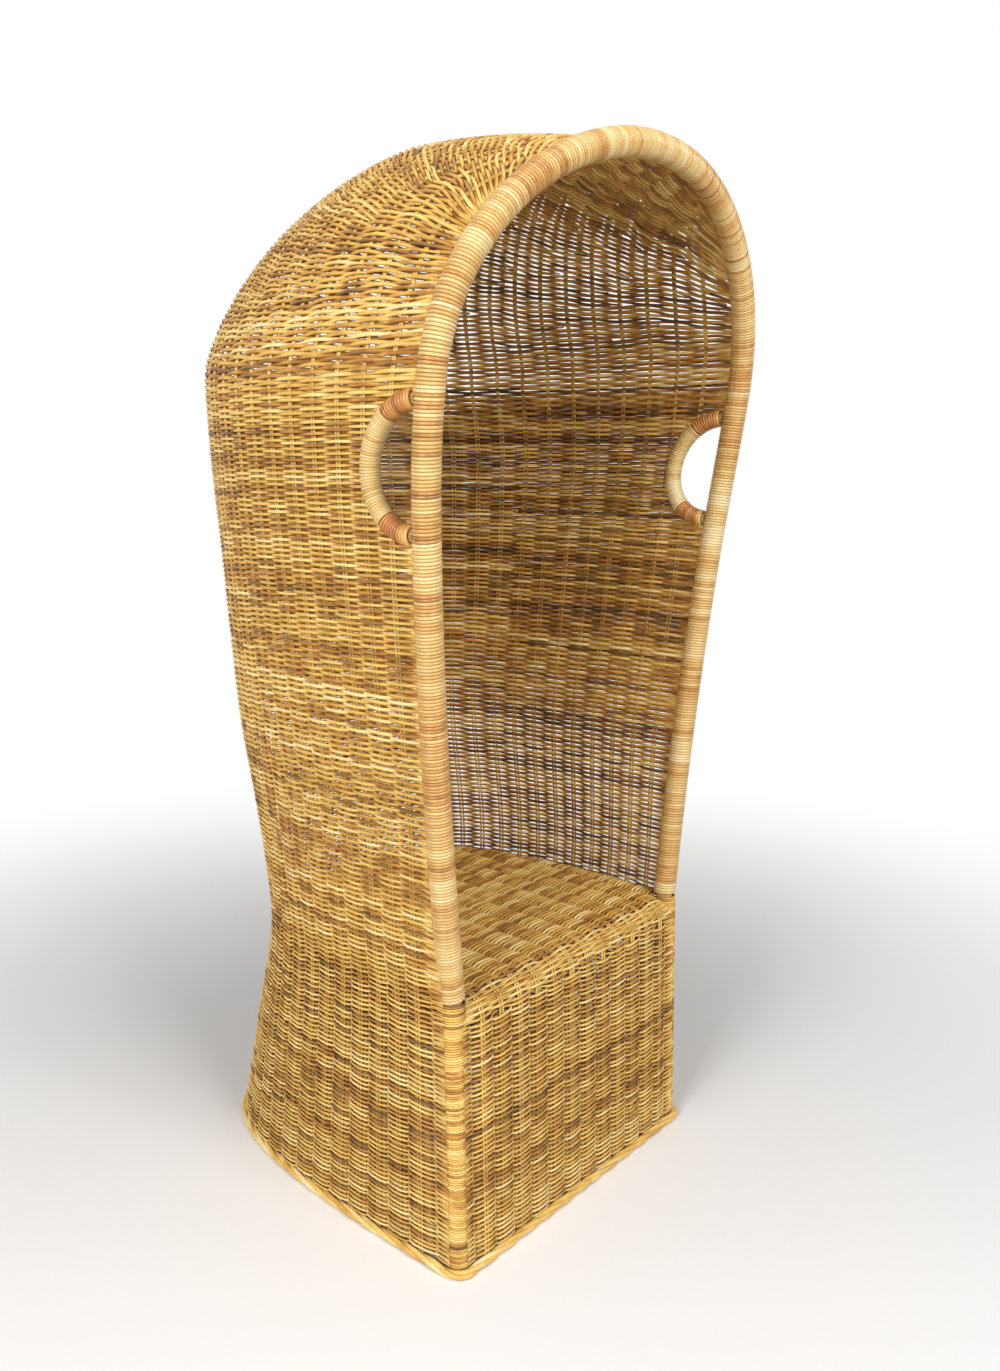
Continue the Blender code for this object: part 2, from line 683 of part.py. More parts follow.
def build_rails():
    """Foot rails and seat rails, poles that run from upright to upright."""
    front_depth, seat_rail_height = seat_rail_place()
    hoop, left_leg, right_leg = uprights()
    for word, height, stagger in (("foot_rail", FOOT_RAIL_HEIGHT, RAIL_STAGGER),
                                  ("seat_rail", seat_rail_height, -RAIL_STAGGER)):
        left, right = post_place(-1, height), post_place(1, height)
        if word == "seat_rail":
            left.y = right.y = front_depth
        add_part(word + "_front", coped_rail(left, right, [hoop]), "pole")
        back = coped_rail(leg_place(-1, height), leg_place(1, height), [left_leg, right_leg])
        add_part(word + "_back", back, "pole")
        for side, name, leg in ((-1, "_left", left_leg), (1, "_right", right_leg)):
            level = height + stagger
            rail = coped_rail(post_place(side, level), leg_place(side, level), [hoop, leg])
            add_part(word + name, rail, "pole")


def build_slats():
    """Slats under the seat, from the front seat rail to the back one."""
    front_depth, rail_height = seat_rail_place()
    back = leg_place(1, rail_height).y
    height = LEG_TOP - SLAT_RADIUS
    half = leg_place(1, rail_height).x * SLAT_SPAN_SHARE
    for i in range(SLATS):
        x = -half + 2 * half * i / (SLATS - 1)
        start = Vector((x, front_depth + RAIL_RADIUS + GAP, height))
        end = Vector((x, back - RAIL_RADIUS - GAP, height))
        add_part("seat_slat_" + str(i + 1), tube([start, end], SLAT_RADIUS), "pole")


# The border on the floor

def border_path():
    """Middle line of the border, once round the base from the front's middle, to the left first."""
    height = BORDER_RADIUS
    half, front = hoop_half(height), hoop_depth(height)
    row = level_row(height, BORDER_OUT - BASE_OUT)
    left = [(0.0, front - BORDER_OUT, height)]
    for turn in np.linspace(math.pi / 2, 0, CORNER_STEPS + 1)[:-1]:
        left.append((-half - BORDER_OUT * math.cos(turn), front - BORDER_OUT * math.sin(turn), height))
    right = [(-x, y, z) for x, y, z in reversed(left)]
    return np.vstack([left, row, right])


def build_border():
    """Four lengths of rolled border, end to end round the base."""
    path = border_path()
    lengths = lengths_along(path)
    corner = BORDER_OUT * math.pi / 2
    lead = 2 * BORDER_RADIUS
    front = hoop_half(BORDER_RADIUS) + corner + lead
    total = lengths[-1]
    rear = [lengths[i] for i in range(1, len(path)) if (path[i, 1] - SEAM_DEPTH) * (path[i - 1, 1] - SEAM_DEPTH) < 0]
    marks = [("border_left", front, rear[0]), ("border_back", rear[0], rear[1]),
             ("border_right", rear[1], total - front)]
    for name, start, end in marks:
        square = BORDER_RADIUS / 2
        inner = np.linspace(start + square, end - square, int((end - start) / BORDER_STEP) + 2)
        places = np.concatenate([[start + GAP / 2], inner, [end - GAP / 2]])
        line = np.stack([np.interp(places, lengths, path[:, axis]) for axis in range(3)], axis=1)
        add_part(name, tube(line, BORDER_RADIUS, BORDER_SIDES), "border")
    half = [GAP / 2, BORDER_RADIUS / 2] + [lead + place for place in np.linspace(0, corner, CORNER_STEPS)]
    places = [place - front for place in half] + [front - place for place in reversed(half)]
    wrapped = [place % total for place in places]
    line = np.stack([np.interp(wrapped, lengths, path[:, axis]) for axis in range(3)], axis=1)
    add_part("border_front", tube(line[::-1], BORDER_RADIUS, BORDER_SIDES), "border")


# Hand holes

def handle_start(height):
    """Depth where a handle ring leaves the bound hoop, at a height."""
    return hoop_depth(height) + BINDING_RADIUS + GAP


def handle_line():
    """Middle line of the right handle ring, from its upper end back and down to its lower end."""
    line = []
    for turn in np.linspace(0, math.pi, PROFILE_SAMPLES):
        height = HANDLE_HEIGHT + HANDLE_HALF * math.cos(turn)
        line.append((hoop_half(height), handle_start(height) + HANDLE_REACH * math.sin(turn), height))
    return np.array(line)


def on_side(points, side):
    """Points of the right side, or their mirror image for the left (-1)."""
    return [(side * x, y, z) for x, y, z in points]


def stretch(line, start, end, count):
    """Points between two lengths along a line."""
    lengths = lengths_along(line)
    places = np.linspace(start, end, count)
    return np.stack([np.interp(places, lengths, line[:, axis]) for axis in range(3)], axis=1)


HANDLE_LEAN = (hoop_depth(HANDLE_HEIGHT - HANDLE_HALF) - hoop_depth(HANDLE_HEIGHT + HANDLE_HALF)) / (2 * HANDLE_HALF)
LASHING_START = 2 * GAP + RING_RADIUS * abs(HANDLE_LEAN)
LASHING_LENGTH = LASHING_START + LASHING_TURNS * LASHING_PITCH + 4 * LASHING_RADIUS + GAP


def lashing_points(line):
    """One lashing: straight for its own thickness at each end, and turns round the ring between them."""
    lengths = lengths_along(line)
    tail = 2 * LASHING_RADIUS
    marks = [(LASHING_START, 0.0)]
    steps = LASHING_TURNS * TURN_POINTS
    for i in range(steps + 1):
        marks.append((LASHING_START + tail + LASHING_PITCH * i / TURN_POINTS, 2 * math.pi * i / TURN_POINTS))
    marks.append((LASHING_START + 2 * tail + LASHING_PITCH * LASHING_TURNS, 2 * math.pi * LASHING_TURNS))
    points = []
    for place, turn in marks:
        middle = Vector([np.interp(place, lengths, line[:, axis]) for axis in range(3)])
        ahead = Vector([np.interp(place + tail, lengths, line[:, axis]) for axis in range(3)])
        along = (ahead - middle).normalized()
        across = Vector((1, 0, 0))
        across = (across - along * across.dot(along)).normalized()
        points.append(middle + LASHING_TURN_RADIUS * (math.cos(turn) * along.cross(across) + math.sin(turn) * across))
    return points


def least_self_gap(points):
    """Least space between turns of a tube, measured on its middle points."""
    places = np.array(points)
    least = math.inf
    for i in range(len(places) - TURN_POINTS // 2):
        far = places[i + TURN_POINTS // 2:]
        least = min(least, float(np.linalg.norm(far - places[i], axis=1).min()))
    return least - 2 * LASHING_RADIUS


def build_handles():
    """Handle rings, the smooth wrap round their middle and the lashings at their ends."""
    clear = hoop_clearance()
    line = handle_line()
    length = lengths_along(line)[-1]
    ring = stretch(line, 0, length, RING_STEPS + 1)
    inward = (0, -BINDING_RADIUS - GAP, 0)
    whole = np.vstack([ring[:1] + inward, ring, ring[-1:] + inward])
    wrap_start = LASHING_LENGTH + GAP
    ends = stretch(line, wrap_start, length - wrap_start, 2)
    first = int(math.ceil(RING_STEPS * (LASHING_LENGTH + 2 * GAP) / length))
    middle = np.vstack([ends[:1], ring[first:len(ring) - first], ends[1:]])
    bore = (HANDLE_CORE_RADIUS + GAP) / math.cos(math.pi / POLE_SIDES)
    for side, word in ((-1, "left"), (1, "right")):
        core = tube(on_side(whole, side), HANDLE_CORE_RADIUS)
        add_part("handle_core_" + word, combine(core, clear.copy(), "DIFFERENCE"), "pole")
        add_part("handle_wrap_" + word, sleeve(on_side(middle, side), bore, HANDLE_WRAP), "binding")
        for name, route in (("upper", line), ("lower", line[::-1])):
            points = on_side(lashing_points(route), side)
            print("handle_lashing", word, name, "least gap to itself, mm:", round(least_self_gap(points) * 1000, 2))
            add_part("handle_lashing_" + word + "_" + name, tube(points, LASHING_RADIUS, TURN_SIDES), "lashing")


def centre_on_floor():
    """Move every part so that the origin is on the floor under the middle of the chair."""
    places = np.array([vertex.co[:] for obj in PARTS.objects for vertex in obj.data.vertices])
    middle = (places.min(axis=0) + places.max(axis=0)) / 2
    for obj in PARTS.objects:
        obj.location = (-middle[0], -middle[1], 0.0)


build_hoop()
build_panels()
build_corner_wraps()
build_front_panel()
build_seat()
build_legs()
build_rails()
build_slats()
build_border()
build_handles()
centre_on_floor()
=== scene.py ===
import math

import bpy
import numpy as np
from mathutils import Matrix, Vector


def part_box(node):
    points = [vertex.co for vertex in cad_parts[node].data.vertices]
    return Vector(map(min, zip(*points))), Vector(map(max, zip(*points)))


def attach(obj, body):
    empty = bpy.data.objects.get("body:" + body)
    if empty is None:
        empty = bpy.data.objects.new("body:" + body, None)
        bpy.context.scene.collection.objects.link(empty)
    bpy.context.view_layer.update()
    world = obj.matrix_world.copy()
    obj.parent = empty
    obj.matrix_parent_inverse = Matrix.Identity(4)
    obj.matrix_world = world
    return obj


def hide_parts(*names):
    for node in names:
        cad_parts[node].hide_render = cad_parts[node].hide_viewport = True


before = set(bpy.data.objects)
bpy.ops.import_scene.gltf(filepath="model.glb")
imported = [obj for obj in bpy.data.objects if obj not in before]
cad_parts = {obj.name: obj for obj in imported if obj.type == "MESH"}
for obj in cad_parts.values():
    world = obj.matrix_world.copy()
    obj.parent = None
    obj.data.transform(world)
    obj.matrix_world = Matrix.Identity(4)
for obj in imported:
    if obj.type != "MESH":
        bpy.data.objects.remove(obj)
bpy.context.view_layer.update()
bpy.ops.object.select_all(action="DESELECT")
print("frame loaded")

# sizes of the chair in metres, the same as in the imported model; depth runs back from the hoop's feet
chair = {
    "seatTop": 0.450, "springHeight": 1.350, "archRise": 0.330, "crownRise": 0.052, "levelRowsRise": 0.054,
    "kneeDrop": 0.250, "handleDrop": 0.117,
    "halfAtFloor": 0.292, "halfAtSeat": 0.293, "halfAtKnee": 0.368, "halfAtSpring": 0.388,
    "footLead": 0.013, "archLean": 0.086, "browNod": 0.0456,
    "shinHeight": 0.200, "lumbarRise": 0.300, "bladeDrop": 0.354, "headDrop": 0.104,
    "backDepths": (0.684, 0.627, 0.565, 0.6355, 0.651, 0.689, 0.7075), "crownDepth": 0.236,
    "baseSquareness": 3.44, "bodySquareness": 3.19, "domeSquareness": 2.55, "profileSquareness": 1.65,
    "fanPower": 0.9, "fanEndShare": 0.803, "blendHeight": 0.300,
    "domeBlendDrop": 0.404, "domeBlendReach": 0.500,
    "skinFlare": 0.004, "skin": 0.0075, "gap": 0.0003, "hoopRadius": 0.0155, "bindingRadius": 0.0206,
    "borderRadius": 0.0080, "rollRadius": 0.040, "seamDepth": 0.400,
    "handleHalf": 0.0885, "handleReach": 0.085, "handleCoreRadius": 0.0100,
}
chair["archTop"] = chair["springHeight"] + chair["archRise"]
chair["crownTop"] = chair["archTop"] + chair["crownRise"]
chair["levelRowsTop"] = chair["springHeight"] + chair["levelRowsRise"]
chair["fanEnd"] = chair["springHeight"] + chair["fanEndShare"] * chair["archRise"]
chair["kneeHeight"] = chair["springHeight"] - chair["kneeDrop"]
chair["handleHeight"] = chair["springHeight"] - chair["handleDrop"]
chair["baseOut"] = chair["hoopRadius"] + chair["gap"] + chair["skin"]
chair["rollHeight"] = chair["seatTop"] - chair["rollRadius"]
# the frame's own y is depth plus this much: the shoulder is the hood's farthest place back
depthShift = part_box("hood_weave")[1].y - chair["backDepths"][-1]

# how the cane is woven; pairs of lists are looked up by height, and a blend is its start and its reach
weave = {
    "gaps": 32,              # spaces between stake pairs, from the hoop round the back to the hoop again
    "endWidth": 1.30,        # the gap beside the hoop, where a gap at the side is 1
    "endBlend": (0.028, 0.012),  # shares of a row's length from its nearer end, as for the next blends
    "backWidth": 1.36,       # and a gap across the back
    "backBlend": (0.30, 0.06),
    "frontGaps": 13,         # spaces between stake pairs across the front and the seat
    "steps": 5,              # points of a weft in one gap
    "pitch": 0.0040,         # from one weft to the next on the seat, where a thickness of 1 fills it
    # and up the skin
    "pitches": ((0.0, 0.45, 0.60, 0.80, 0.92, 1.05, 1.28, 1.38),
                (0.0040, 0.0040, 0.0042, 0.0046, 0.0047, 0.0041, 0.0040, 0.0057)),
    "weftRadius": 0.00195,
    # wefts are thin near the seat and in the hood, where light shows between them, and packed close between
    "thicknesses": ((0.44, 0.47, 0.72, 0.86, 1.32, 1.39), (1.00, 1.09, 1.09, 1.21, 1.21, 1.07)),
    "seatThickness": 1.21,
    "rollThickness": 1.14,   # over the seat's rounded front edge
    "thickSpread": 0.04,
    "basePaler": 0.05,       # how much paler the base's canes are
    "stakeRadius": 0.0020,
    "pairHalf": 0.0030,      # from the middle of a pair to each of its canes
    "hoodPairHalf": 0.0021,  # the pairs close up in the hood
    "closeHeights": (1.26, 1.36),  # between these heights
    # how far a weft stands off the weave's middle as it passes a pair
    "floats": ((0.40, 0.55, 1.28, 1.38), (0.0054, 0.0042, 0.0042, 0.0034)),
    "seatFloat": 0.0038,
    # at the stakes the outer weft is drawn up and the inner one down, by this share of half their pitch
    "draws": ((0.44, 0.47, 0.72, 0.86, 1.30, 1.39), (0.20, 0.62, 0.56, 0.10, 0.10, 0.88)),
    "sideDraw": 0.20,        # the share of that at the sides
    "sideBlend": (0.22, 0.12),
    "domeDraw": 0.60,        # and in the dome's rows
    "drawPower": 2.4,        # higher keeps more of the gap between two stakes closed
    # how flat a weft lies over the pair; higher is flatter
    "squares": ((0.44, 0.47, 0.72, 0.86, 1.30, 1.39), (2.2, 1.4, 1.4, 2.3, 2.3, 1.3)),
    "seatSquare": 2.0,
    # in the hood the stakes lean back from the hoop, so the gaps between them are this much wider
    "splays": ((1.26, 1.404, 1.52), (1.0, 1.045, 1.095)),
    "inset": 0.0046,         # the middle of the weave behind the skin's outer face
    "bodyBlend": (0.40, 0.10),  # heights where the base's looser weave gives way to the body's
    "wander": 0.00022,       # how far a weft strays along its way
    "baseWander": 0.00042,
    "sway": 0.0011,          # how far whole rows rise and sink together
    "baseSway": 0.0024,
    "swayWaves": ((0.83, 9.0, 0.6), (1.71, -14.0, 2.2)),  # turn per gap, per metre of height and at first
    "swayRise": (0.03, 0.08), "swayFall": (1.25, 0.12),   # heights
    "endFlat": 0.8,          # gaps over which a weft's end lies flatter
    "hoopTrim": 0.0180,      # wefts end this far from the hoop's middle line, under its binding
    "ringTrim": 0.0105,      # and this far from a handle ring's
    "shortest": 0.016,       # a shorter scrap of weft is left out
    "postDip": 0.0045,       # how far rows dip in beside a corner post
    "dipSink": 0.7,          # and the share of that by which they sink
    "dipRise": (0.0, 0.5), "dipFall": (0.6, 0.8),         # gaps from the post
    "frontTurn": (90, 8), "rollTurn": (185, 15),          # degrees round a corner post, and points
    "paintedInsideShade": 0.16,     # painted shade: how much darker the canes' inward sides are painted, standing in for the shade inside the chair
    # painted shade on the base's inward sides, which darkens the crevices between its rows
    "basePaintedInsideShade": 0.35,
    "insideDepth": 0.28,     # depth of the middle of the inside
}
rng = np.random.default_rng(1672)


# the hoop

def hermite(share, start, end, startRise, endRise):
    square, cube = share ** 2, share ** 3
    return ((1 - 3 * square + 2 * cube) * start + (cube - 2 * square + share) * startRise
            + (3 * square - 2 * cube) * end + (cube - square) * endRise)


def hoopHalf(height):
    c = chair
    slope = (c["halfAtKnee"] - c["halfAtSeat"]) / (c["kneeHeight"] - c["seatTop"])
    if height < c["seatTop"]:
        return c["halfAtFloor"] + (c["halfAtSeat"] - c["halfAtFloor"]) * height / c["seatTop"]
    if height < c["kneeHeight"]:
        return c["halfAtSeat"] + slope * (height - c["seatTop"])
    if height < c["springHeight"]:
        reach = c["springHeight"] - c["kneeHeight"]
        share = (height - c["kneeHeight"]) / reach
        return hermite(share, c["halfAtKnee"], c["halfAtSpring"], slope * reach, 0.0)
    share = min((height - c["springHeight"]) / c["archRise"], 1.0)
    return c["halfAtSpring"] * math.sqrt(1 - share ** 2)


def hoopDepth(height):
    c = chair
    if height < c["seatTop"]:
        return -c["footLead"] * (1 - height / c["seatTop"])
    share = (height - c["seatTop"]) / (c["archTop"] - c["seatTop"])
    return -(c["archLean"] * share ** 2 + c["browNod"] * share ** 6)


def hoopLine(start, steps=260):
    # the whole hoop from its left end over the arch to its right end
    heights = list(np.linspace(start, chair["springHeight"], steps))[:-1]
    turns = np.linspace(0, math.pi / 2, steps)
    heights += [chair["springHeight"] + chair["archRise"] * math.sin(turn) for turn in turns]
    right = np.array([(hoopHalf(h), hoopDepth(h), h) for h in heights])
    return np.vstack([right * (-1, 1, 1), right[-2::-1]])


# lines of points

def lookedUp(places, base, values):
    # each column of values, which lie at base, read at these places
    return np.stack([np.interp(places, base, values[:, axis]) for axis in range(values.shape[1])], axis=1)


def lengthsAlong(line):
    return np.concatenate([[0.0], np.cumsum(np.linalg.norm(np.diff(line, axis=0), axis=1))])


def placesOn(line, places):
    return lookedUp(places, lengthsAlong(line), line)


def atShares(line, shares):
    return placesOn(line, shares * lengthsAlong(line)[-1])


def unit(vectors):
    return vectors / np.maximum(np.linalg.norm(vectors, axis=-1, keepdims=True), 1e-12)


def eased(share):
    share = np.clip(share, 0.0, 1.0)
    return share * share * (3 - 2 * share)


def blend(value, start, reach):
    return eased((value - start) / reach)


# the woven skin's outer face

def smoothThrough(places, values):
    steps = np.diff(places)
    slopes = np.diff(values) / steps
    tangents = [slopes[0]]
    for i in range(1, len(places) - 1):
        tangents.append((slopes[i - 1] * steps[i] + slopes[i] * steps[i - 1]) / (steps[i - 1] + steps[i]))
    tangents.append(0.0)

    def value(place):
        i = min(max(int(np.searchsorted(places, place)) - 1, 0), len(steps) - 1)
        share = (place - places[i]) / steps[i]
        return hermite(share, values[i], values[i + 1], tangents[i] * steps[i], tangents[i + 1] * steps[i])
    return value


backHeights = (0.0, chair["shinHeight"], chair["seatTop"], chair["seatTop"] + chair["lumbarRise"],
               chair["levelRowsTop"] - chair["bladeDrop"], chair["levelRowsTop"] - chair["headDrop"],
               chair["levelRowsTop"])
backDepth = smoothThrough(backHeights, chair["backDepths"])


def domeProfile(samples=400):
    # the dome on its middle line, from the shoulder over the crown to the arch
    c = chair
    rise, power = c["crownTop"] - c["levelRowsTop"], 2 / c["profileSquareness"]
    turns = np.linspace(0, math.pi / 2, samples)
    across = np.maximum(np.cos(turns), 0.0) ** power
    back = np.stack([c["crownDepth"] + (c["backDepths"][-1] - c["crownDepth"]) * across,
                     c["levelRowsTop"] + rise * np.sin(turns) ** power], axis=1)
    share = math.sqrt(1 - ((c["archTop"] - c["levelRowsTop"]) / rise) ** 2)
    reach = (c["crownDepth"] - hoopDepth(c["archTop"])) / share
    turns = np.linspace(0, math.asin(share), samples)[1:]
    brow = np.stack([c["crownDepth"] - reach * np.sin(turns),
                     c["levelRowsTop"] + rise * np.cos(turns)], axis=1)
    return np.vstack([back, brow])


def squareness(height):
    c = chair
    dome = np.clip((height - (c["levelRowsTop"] - c["domeBlendDrop"])) / c["domeBlendReach"], 0.0, 1.0)
    upper = c["bodySquareness"] + (c["domeSquareness"] - c["bodySquareness"]) * dome
    ease = eased((height - c["seatTop"]) / c["blendHeight"])
    return c["baseSquareness"] + (upper - c["baseSquareness"]) * ease


def skinStand(height):
    c = chair
    return c["baseOut"] + (c["skinFlare"] - c["baseOut"]) * eased((height - c["seatTop"]) / c["blendHeight"])


def rowPoints(half, front, frontHeight, back, backHeight, power, fan, samples=900):
    c = chair
    turns = np.linspace(0, math.pi, samples)
    across = -np.sign(np.cos(turns)) * np.abs(np.cos(turns)) ** (2 / power)
    depth = np.maximum(np.sin(turns), 0.0) ** (2 / power)
    if fan > 0:
        reach = np.sqrt(np.maximum(1 - (across * half / c["halfAtSpring"]) ** 2, 0.0))
        over = (c["springHeight"] + c["archRise"] * reach - frontHeight) / (c["archTop"] - frontHeight)
        depth = (1 - fan) * depth + fan * np.clip(over, 0.0, 1.0)
    return np.stack([half * across, front + (back - front) * depth,
                     frontHeight + (backHeight - frontHeight) * depth], axis=1)


def levelRow(height):
    half = hoopHalf(height) + skinStand(height)
    return rowPoints(half, hoopDepth(height), height, backDepth(height), height, squareness(height), 0.0)


domeLine = domeProfile()
rimLine = np.array([(hoopHalf(h), hoopDepth(h), h)
                    for h in np.linspace(chair["levelRowsTop"], chair["fanEnd"], 300)])


def fanRow(share):
    # one row of the dome: share 0 is the last level row, 1 lies on the arch
    start = placesOn(rimLine, [share * lengthsAlong(rimLine)[-1]])[0]
    depth, height = placesOn(domeLine, [share * lengthsAlong(domeLine)[-1]])[0]
    half = start[0] + chair["skinFlare"] * (1 - share)
    return rowPoints(half, start[1], start[2], depth, height, squareness(height), share ** chair["fanPower"])


def spreadColumns(count):
    # shares of a row's length at which columns lie: wider apart beside the hoop and across the back
    along = np.linspace(0, 1, 2001)
    fromEnd = np.minimum(along, 1 - along)
    width = 1 + (weave["endWidth"] - 1) * (1 - blend(fromEnd, *weave["endBlend"]))
    width += (weave["backWidth"] - 1) * blend(fromEnd, *weave["backBlend"])
    total = np.concatenate([[0.0], np.cumsum((1 / width[1:] + 1 / width[:-1]) / 2)])
    return np.interp(np.linspace(0, 1, count), total / total[-1], along)


# a net of points over the skin: level rows, then the dome's, with the columns' places along each row
grid = {"levels": 156, "domeRows": 199, "lastShare": 0.998}
columns = weave["gaps"] * weave["steps"] + 1
columnShares = spreadColumns(columns)
columnsFromEnd = np.minimum(columnShares, 1 - columnShares)
backShare = weave["sideDraw"] + (1 - weave["sideDraw"]) * blend(columnsFromEnd, *weave["sideBlend"])
levelStep = chair["levelRowsTop"] / grid["levels"]
levelNet = np.array([atShares(levelRow(i * levelStep), columnShares) for i in range(grid["levels"] + 1)])
domeShares = np.linspace(0, grid["lastShare"], grid["domeRows"] + 1)[1:]
outerNet = np.concatenate([levelNet, [atShares(fanRow(share), columnShares) for share in domeShares]])
acrossNet = unit(np.gradient(outerNet, axis=1))
upNet = unit(np.gradient(outerNet, axis=0))
outNet = unit(np.cross(upNet, acrossNet))
middleNet = outerNet - outNet * weave["inset"]
print("skin laid out,", outerNet.shape)


def netRow(place):
    # a row of the net at a broken row number: points, outward and upward directions
    low = min(int(place), len(middleNet) - 2)
    share = place - low
    return [net[low] * (1 - share) + net[low + 1] * share for net in (middleNet, outNet, upNet)]


# where the dome's wefts run: each lies near one plane, from its place on the hoop to that on the middle line
fan = {
    "tilts": (0.0, 7.0, 10.0, 18.0, 30.0, 40.0, 50.0, 70.0, 108.0),               # degrees
    "rimRises": (0.100, 0.125, 0.150, 0.171, 0.183, 0.197, 0.212, 0.233, 0.265),  # above the spring line
    "tries": 30, "tryShare": 0.4,  # a weft's place on the hoop and its tilt settle in these steps
    "fullShare": 1.12,       # a weft is whole where the rows have this much of their pitch
    "fade": 0.13,            # how gently a weft gives way where the rows close up
    "smoothRows": 9,         # rows over which their distance is evened out
    "leastWeight": 0.30,     # below this a weft is left out
    "wholeWeight": 0.9,      # and above this it is not thinned
    "leastThin": 0.45, "thin": 0.90,
    "keepSpacing": 1.1,      # 1: stakes keep their distance from the hoop, 0: they close up evenly
    "crowded": (0.009, 0.018),  # every other stake ends where the next one comes this near
    "leastFloat": 0.15,      # the share by which wefts still stand off where stakes crowd together
    "floatBlend": (0.014, 0.020),  # widths of the gap between them
}


def atHeight(height, name):
    return float(np.interp(height, *weave[name]))


def splayed(row, height):
    # a row of the net with its columns moved away from the hoop
    half = (1 - (1 - 2 * columnsFromEnd) ** atHeight(height, "splays")) / 2
    return lookedUp(np.where(columnShares < 0.5, half, 1 - half), columnShares, row)


def domeRows():
    # every weft's points, outward and upward directions and weight as a share, and the stakes' points
    crest = lengthsAlong(domeLine)[-1]
    pitch = atHeight(chair["levelRowsTop"], "pitches")
    count = int(crest / pitch)
    net, outs, ups, skin = (field[grid["levels"]:] for field in (middleNet, outNet, upNet, outerNet))
    fields = np.concatenate([net, outs, ups], axis=2)
    columnLengths = np.stack([lengthsAlong(net[:, j]) for j in range(columns)], axis=1)
    index = np.arange(columns)

    def netAt(lengths):
        # the net's fields at these lengths up its columns
        places = np.array([np.interp(lengths[j], columnLengths[:, j], np.arange(len(net))) for j in index])
        low = np.minimum(places.astype(int), len(net) - 2)
        share = (places - low)[:, None]
        return fields[low, index] * (1 - share) + fields[low + 1, index] * share

    # how far up each column every weft's plane cuts it
    reach = np.zeros((count, columns))
    rise = 0.0
    for k in range(count):
        depth, height = placesOn(domeLine, [(k + 0.5) * crest / count])[0]
        if height - chair["springHeight"] <= fan["rimRises"][0]:
            rise = height - chair["springHeight"]
        else:
            for _ in range(fan["tries"]):
                front = chair["springHeight"] + rise
                tilt = math.degrees(math.atan2(height - front, depth - hoopDepth(front)))
                rise += fan["tryShare"] * (np.interp(tilt, fan["tilts"], fan["rimRises"]) - rise)
        front = chair["springHeight"] + rise
        lean = (-(height - front), depth - hoopDepth(front))
        above = (skin[:, :, 1] - hoopDepth(front)) * lean[0] + (skin[:, :, 2] - front) * lean[1]
        first = np.clip(np.argmax(above > 0, axis=0), 1, len(net) - 1)
        first[above.max(axis=0) <= 0] = len(net) - 1
        low, high = above[first - 1, index], above[first, index]
        share = np.clip(-low / np.where(high - low == 0, 1, high - low), 0, 1)
        reach[k] = columnLengths[first - 1, index] * (1 - share) + columnLengths[first, index] * share
    reach = np.maximum.accumulate(reach, axis=0)
    # stakes keep their distance from the hoop while rows grow shorter, and crowd together in the middle
    cuts = np.array([netAt(lengths)[:, :3] for lengths in reach])
    shares = []
    for row in cuts:
        lengths = lengthsAlong(row)
        shorter = (lengthsAlong(cuts[0])[-1] / lengths[-1]) ** fan["keepSpacing"]
        shorter *= atHeight(row[len(row) // 4, 2], "splays")
        share = lengths / lengths[-1]
        half = (1 - np.maximum(1 - 2 * np.minimum(share, 1 - share), 0) ** (1 / max(shorter, 1.0))) / 2
        shares.append(np.where(share < 0.5, half, 1 - half))
    shares = np.array(shares)
    stakeNet = np.array([lookedUp(columnShares, shares[k], cuts[k]) for k in range(count)])
    # wefts give way one after another, in an order that leaves the others evenly spaced
    kernel = np.ones(fan["smoothRows"]) / fan["smoothRows"]
    density = np.pad(np.gradient(reach, axis=0) / pitch, ((len(kernel) // 2,) * 2, (0, 0)), mode="edge")
    density = np.stack([np.convolve(density[:, j], kernel, "valid") for j in index], axis=1)
    weights = np.zeros_like(density)
    for k in range(count):
        pair, threshold, step = k // 2 + 1, 0.0, 0.5
        while pair:
            threshold += step * (pair & 1)
            pair >>= 1
            step /= 2
        weights[k] = eased((density[k] * fan["fullShare"] - threshold) / fan["fade"] + 0.5)
    total = np.cumsum(weights, axis=0)
    even = (total - weights / 2) / total[-1] * reach[-1]
    rows = []
    for k in range(count):
        own = np.array([np.interp(even[k, j], reach[:, j], shares[:, j]) for j in index])
        own = np.maximum.accumulate(own) + 1e-9 * index
        row = lookedUp(columnShares, own, np.column_stack([netAt(even[k]), weights[k]]))
        rows.append((row[:, :3], unit(row[:, 3:6]), unit(row[:, 6:9]), row[:, 9]))
    return rows, stakeNet


# what wefts and stakes must stay clear of

def handleStart(height):
    return hoopDepth(height) + chair["bindingRadius"] + chair["gap"]


def handleLine(samples=200):
    # the right handle ring from its upper end back and down to its lower end
    c = chair
    line = []
    for turn in np.linspace(0, math.pi, samples):
        height = c["handleHeight"] + c["handleHalf"] * math.cos(turn)
        line.append((hoopHalf(height), handleStart(height) + c["handleReach"] * math.sin(turn), height))
    return np.array(line)


wholeHoop = hoopLine(chair["seatTop"])
ringLine = handleLine()


def nearest(points, line):
    return np.sqrt(((points[:, None] - line[None]) ** 2).sum(axis=2).min(axis=1))


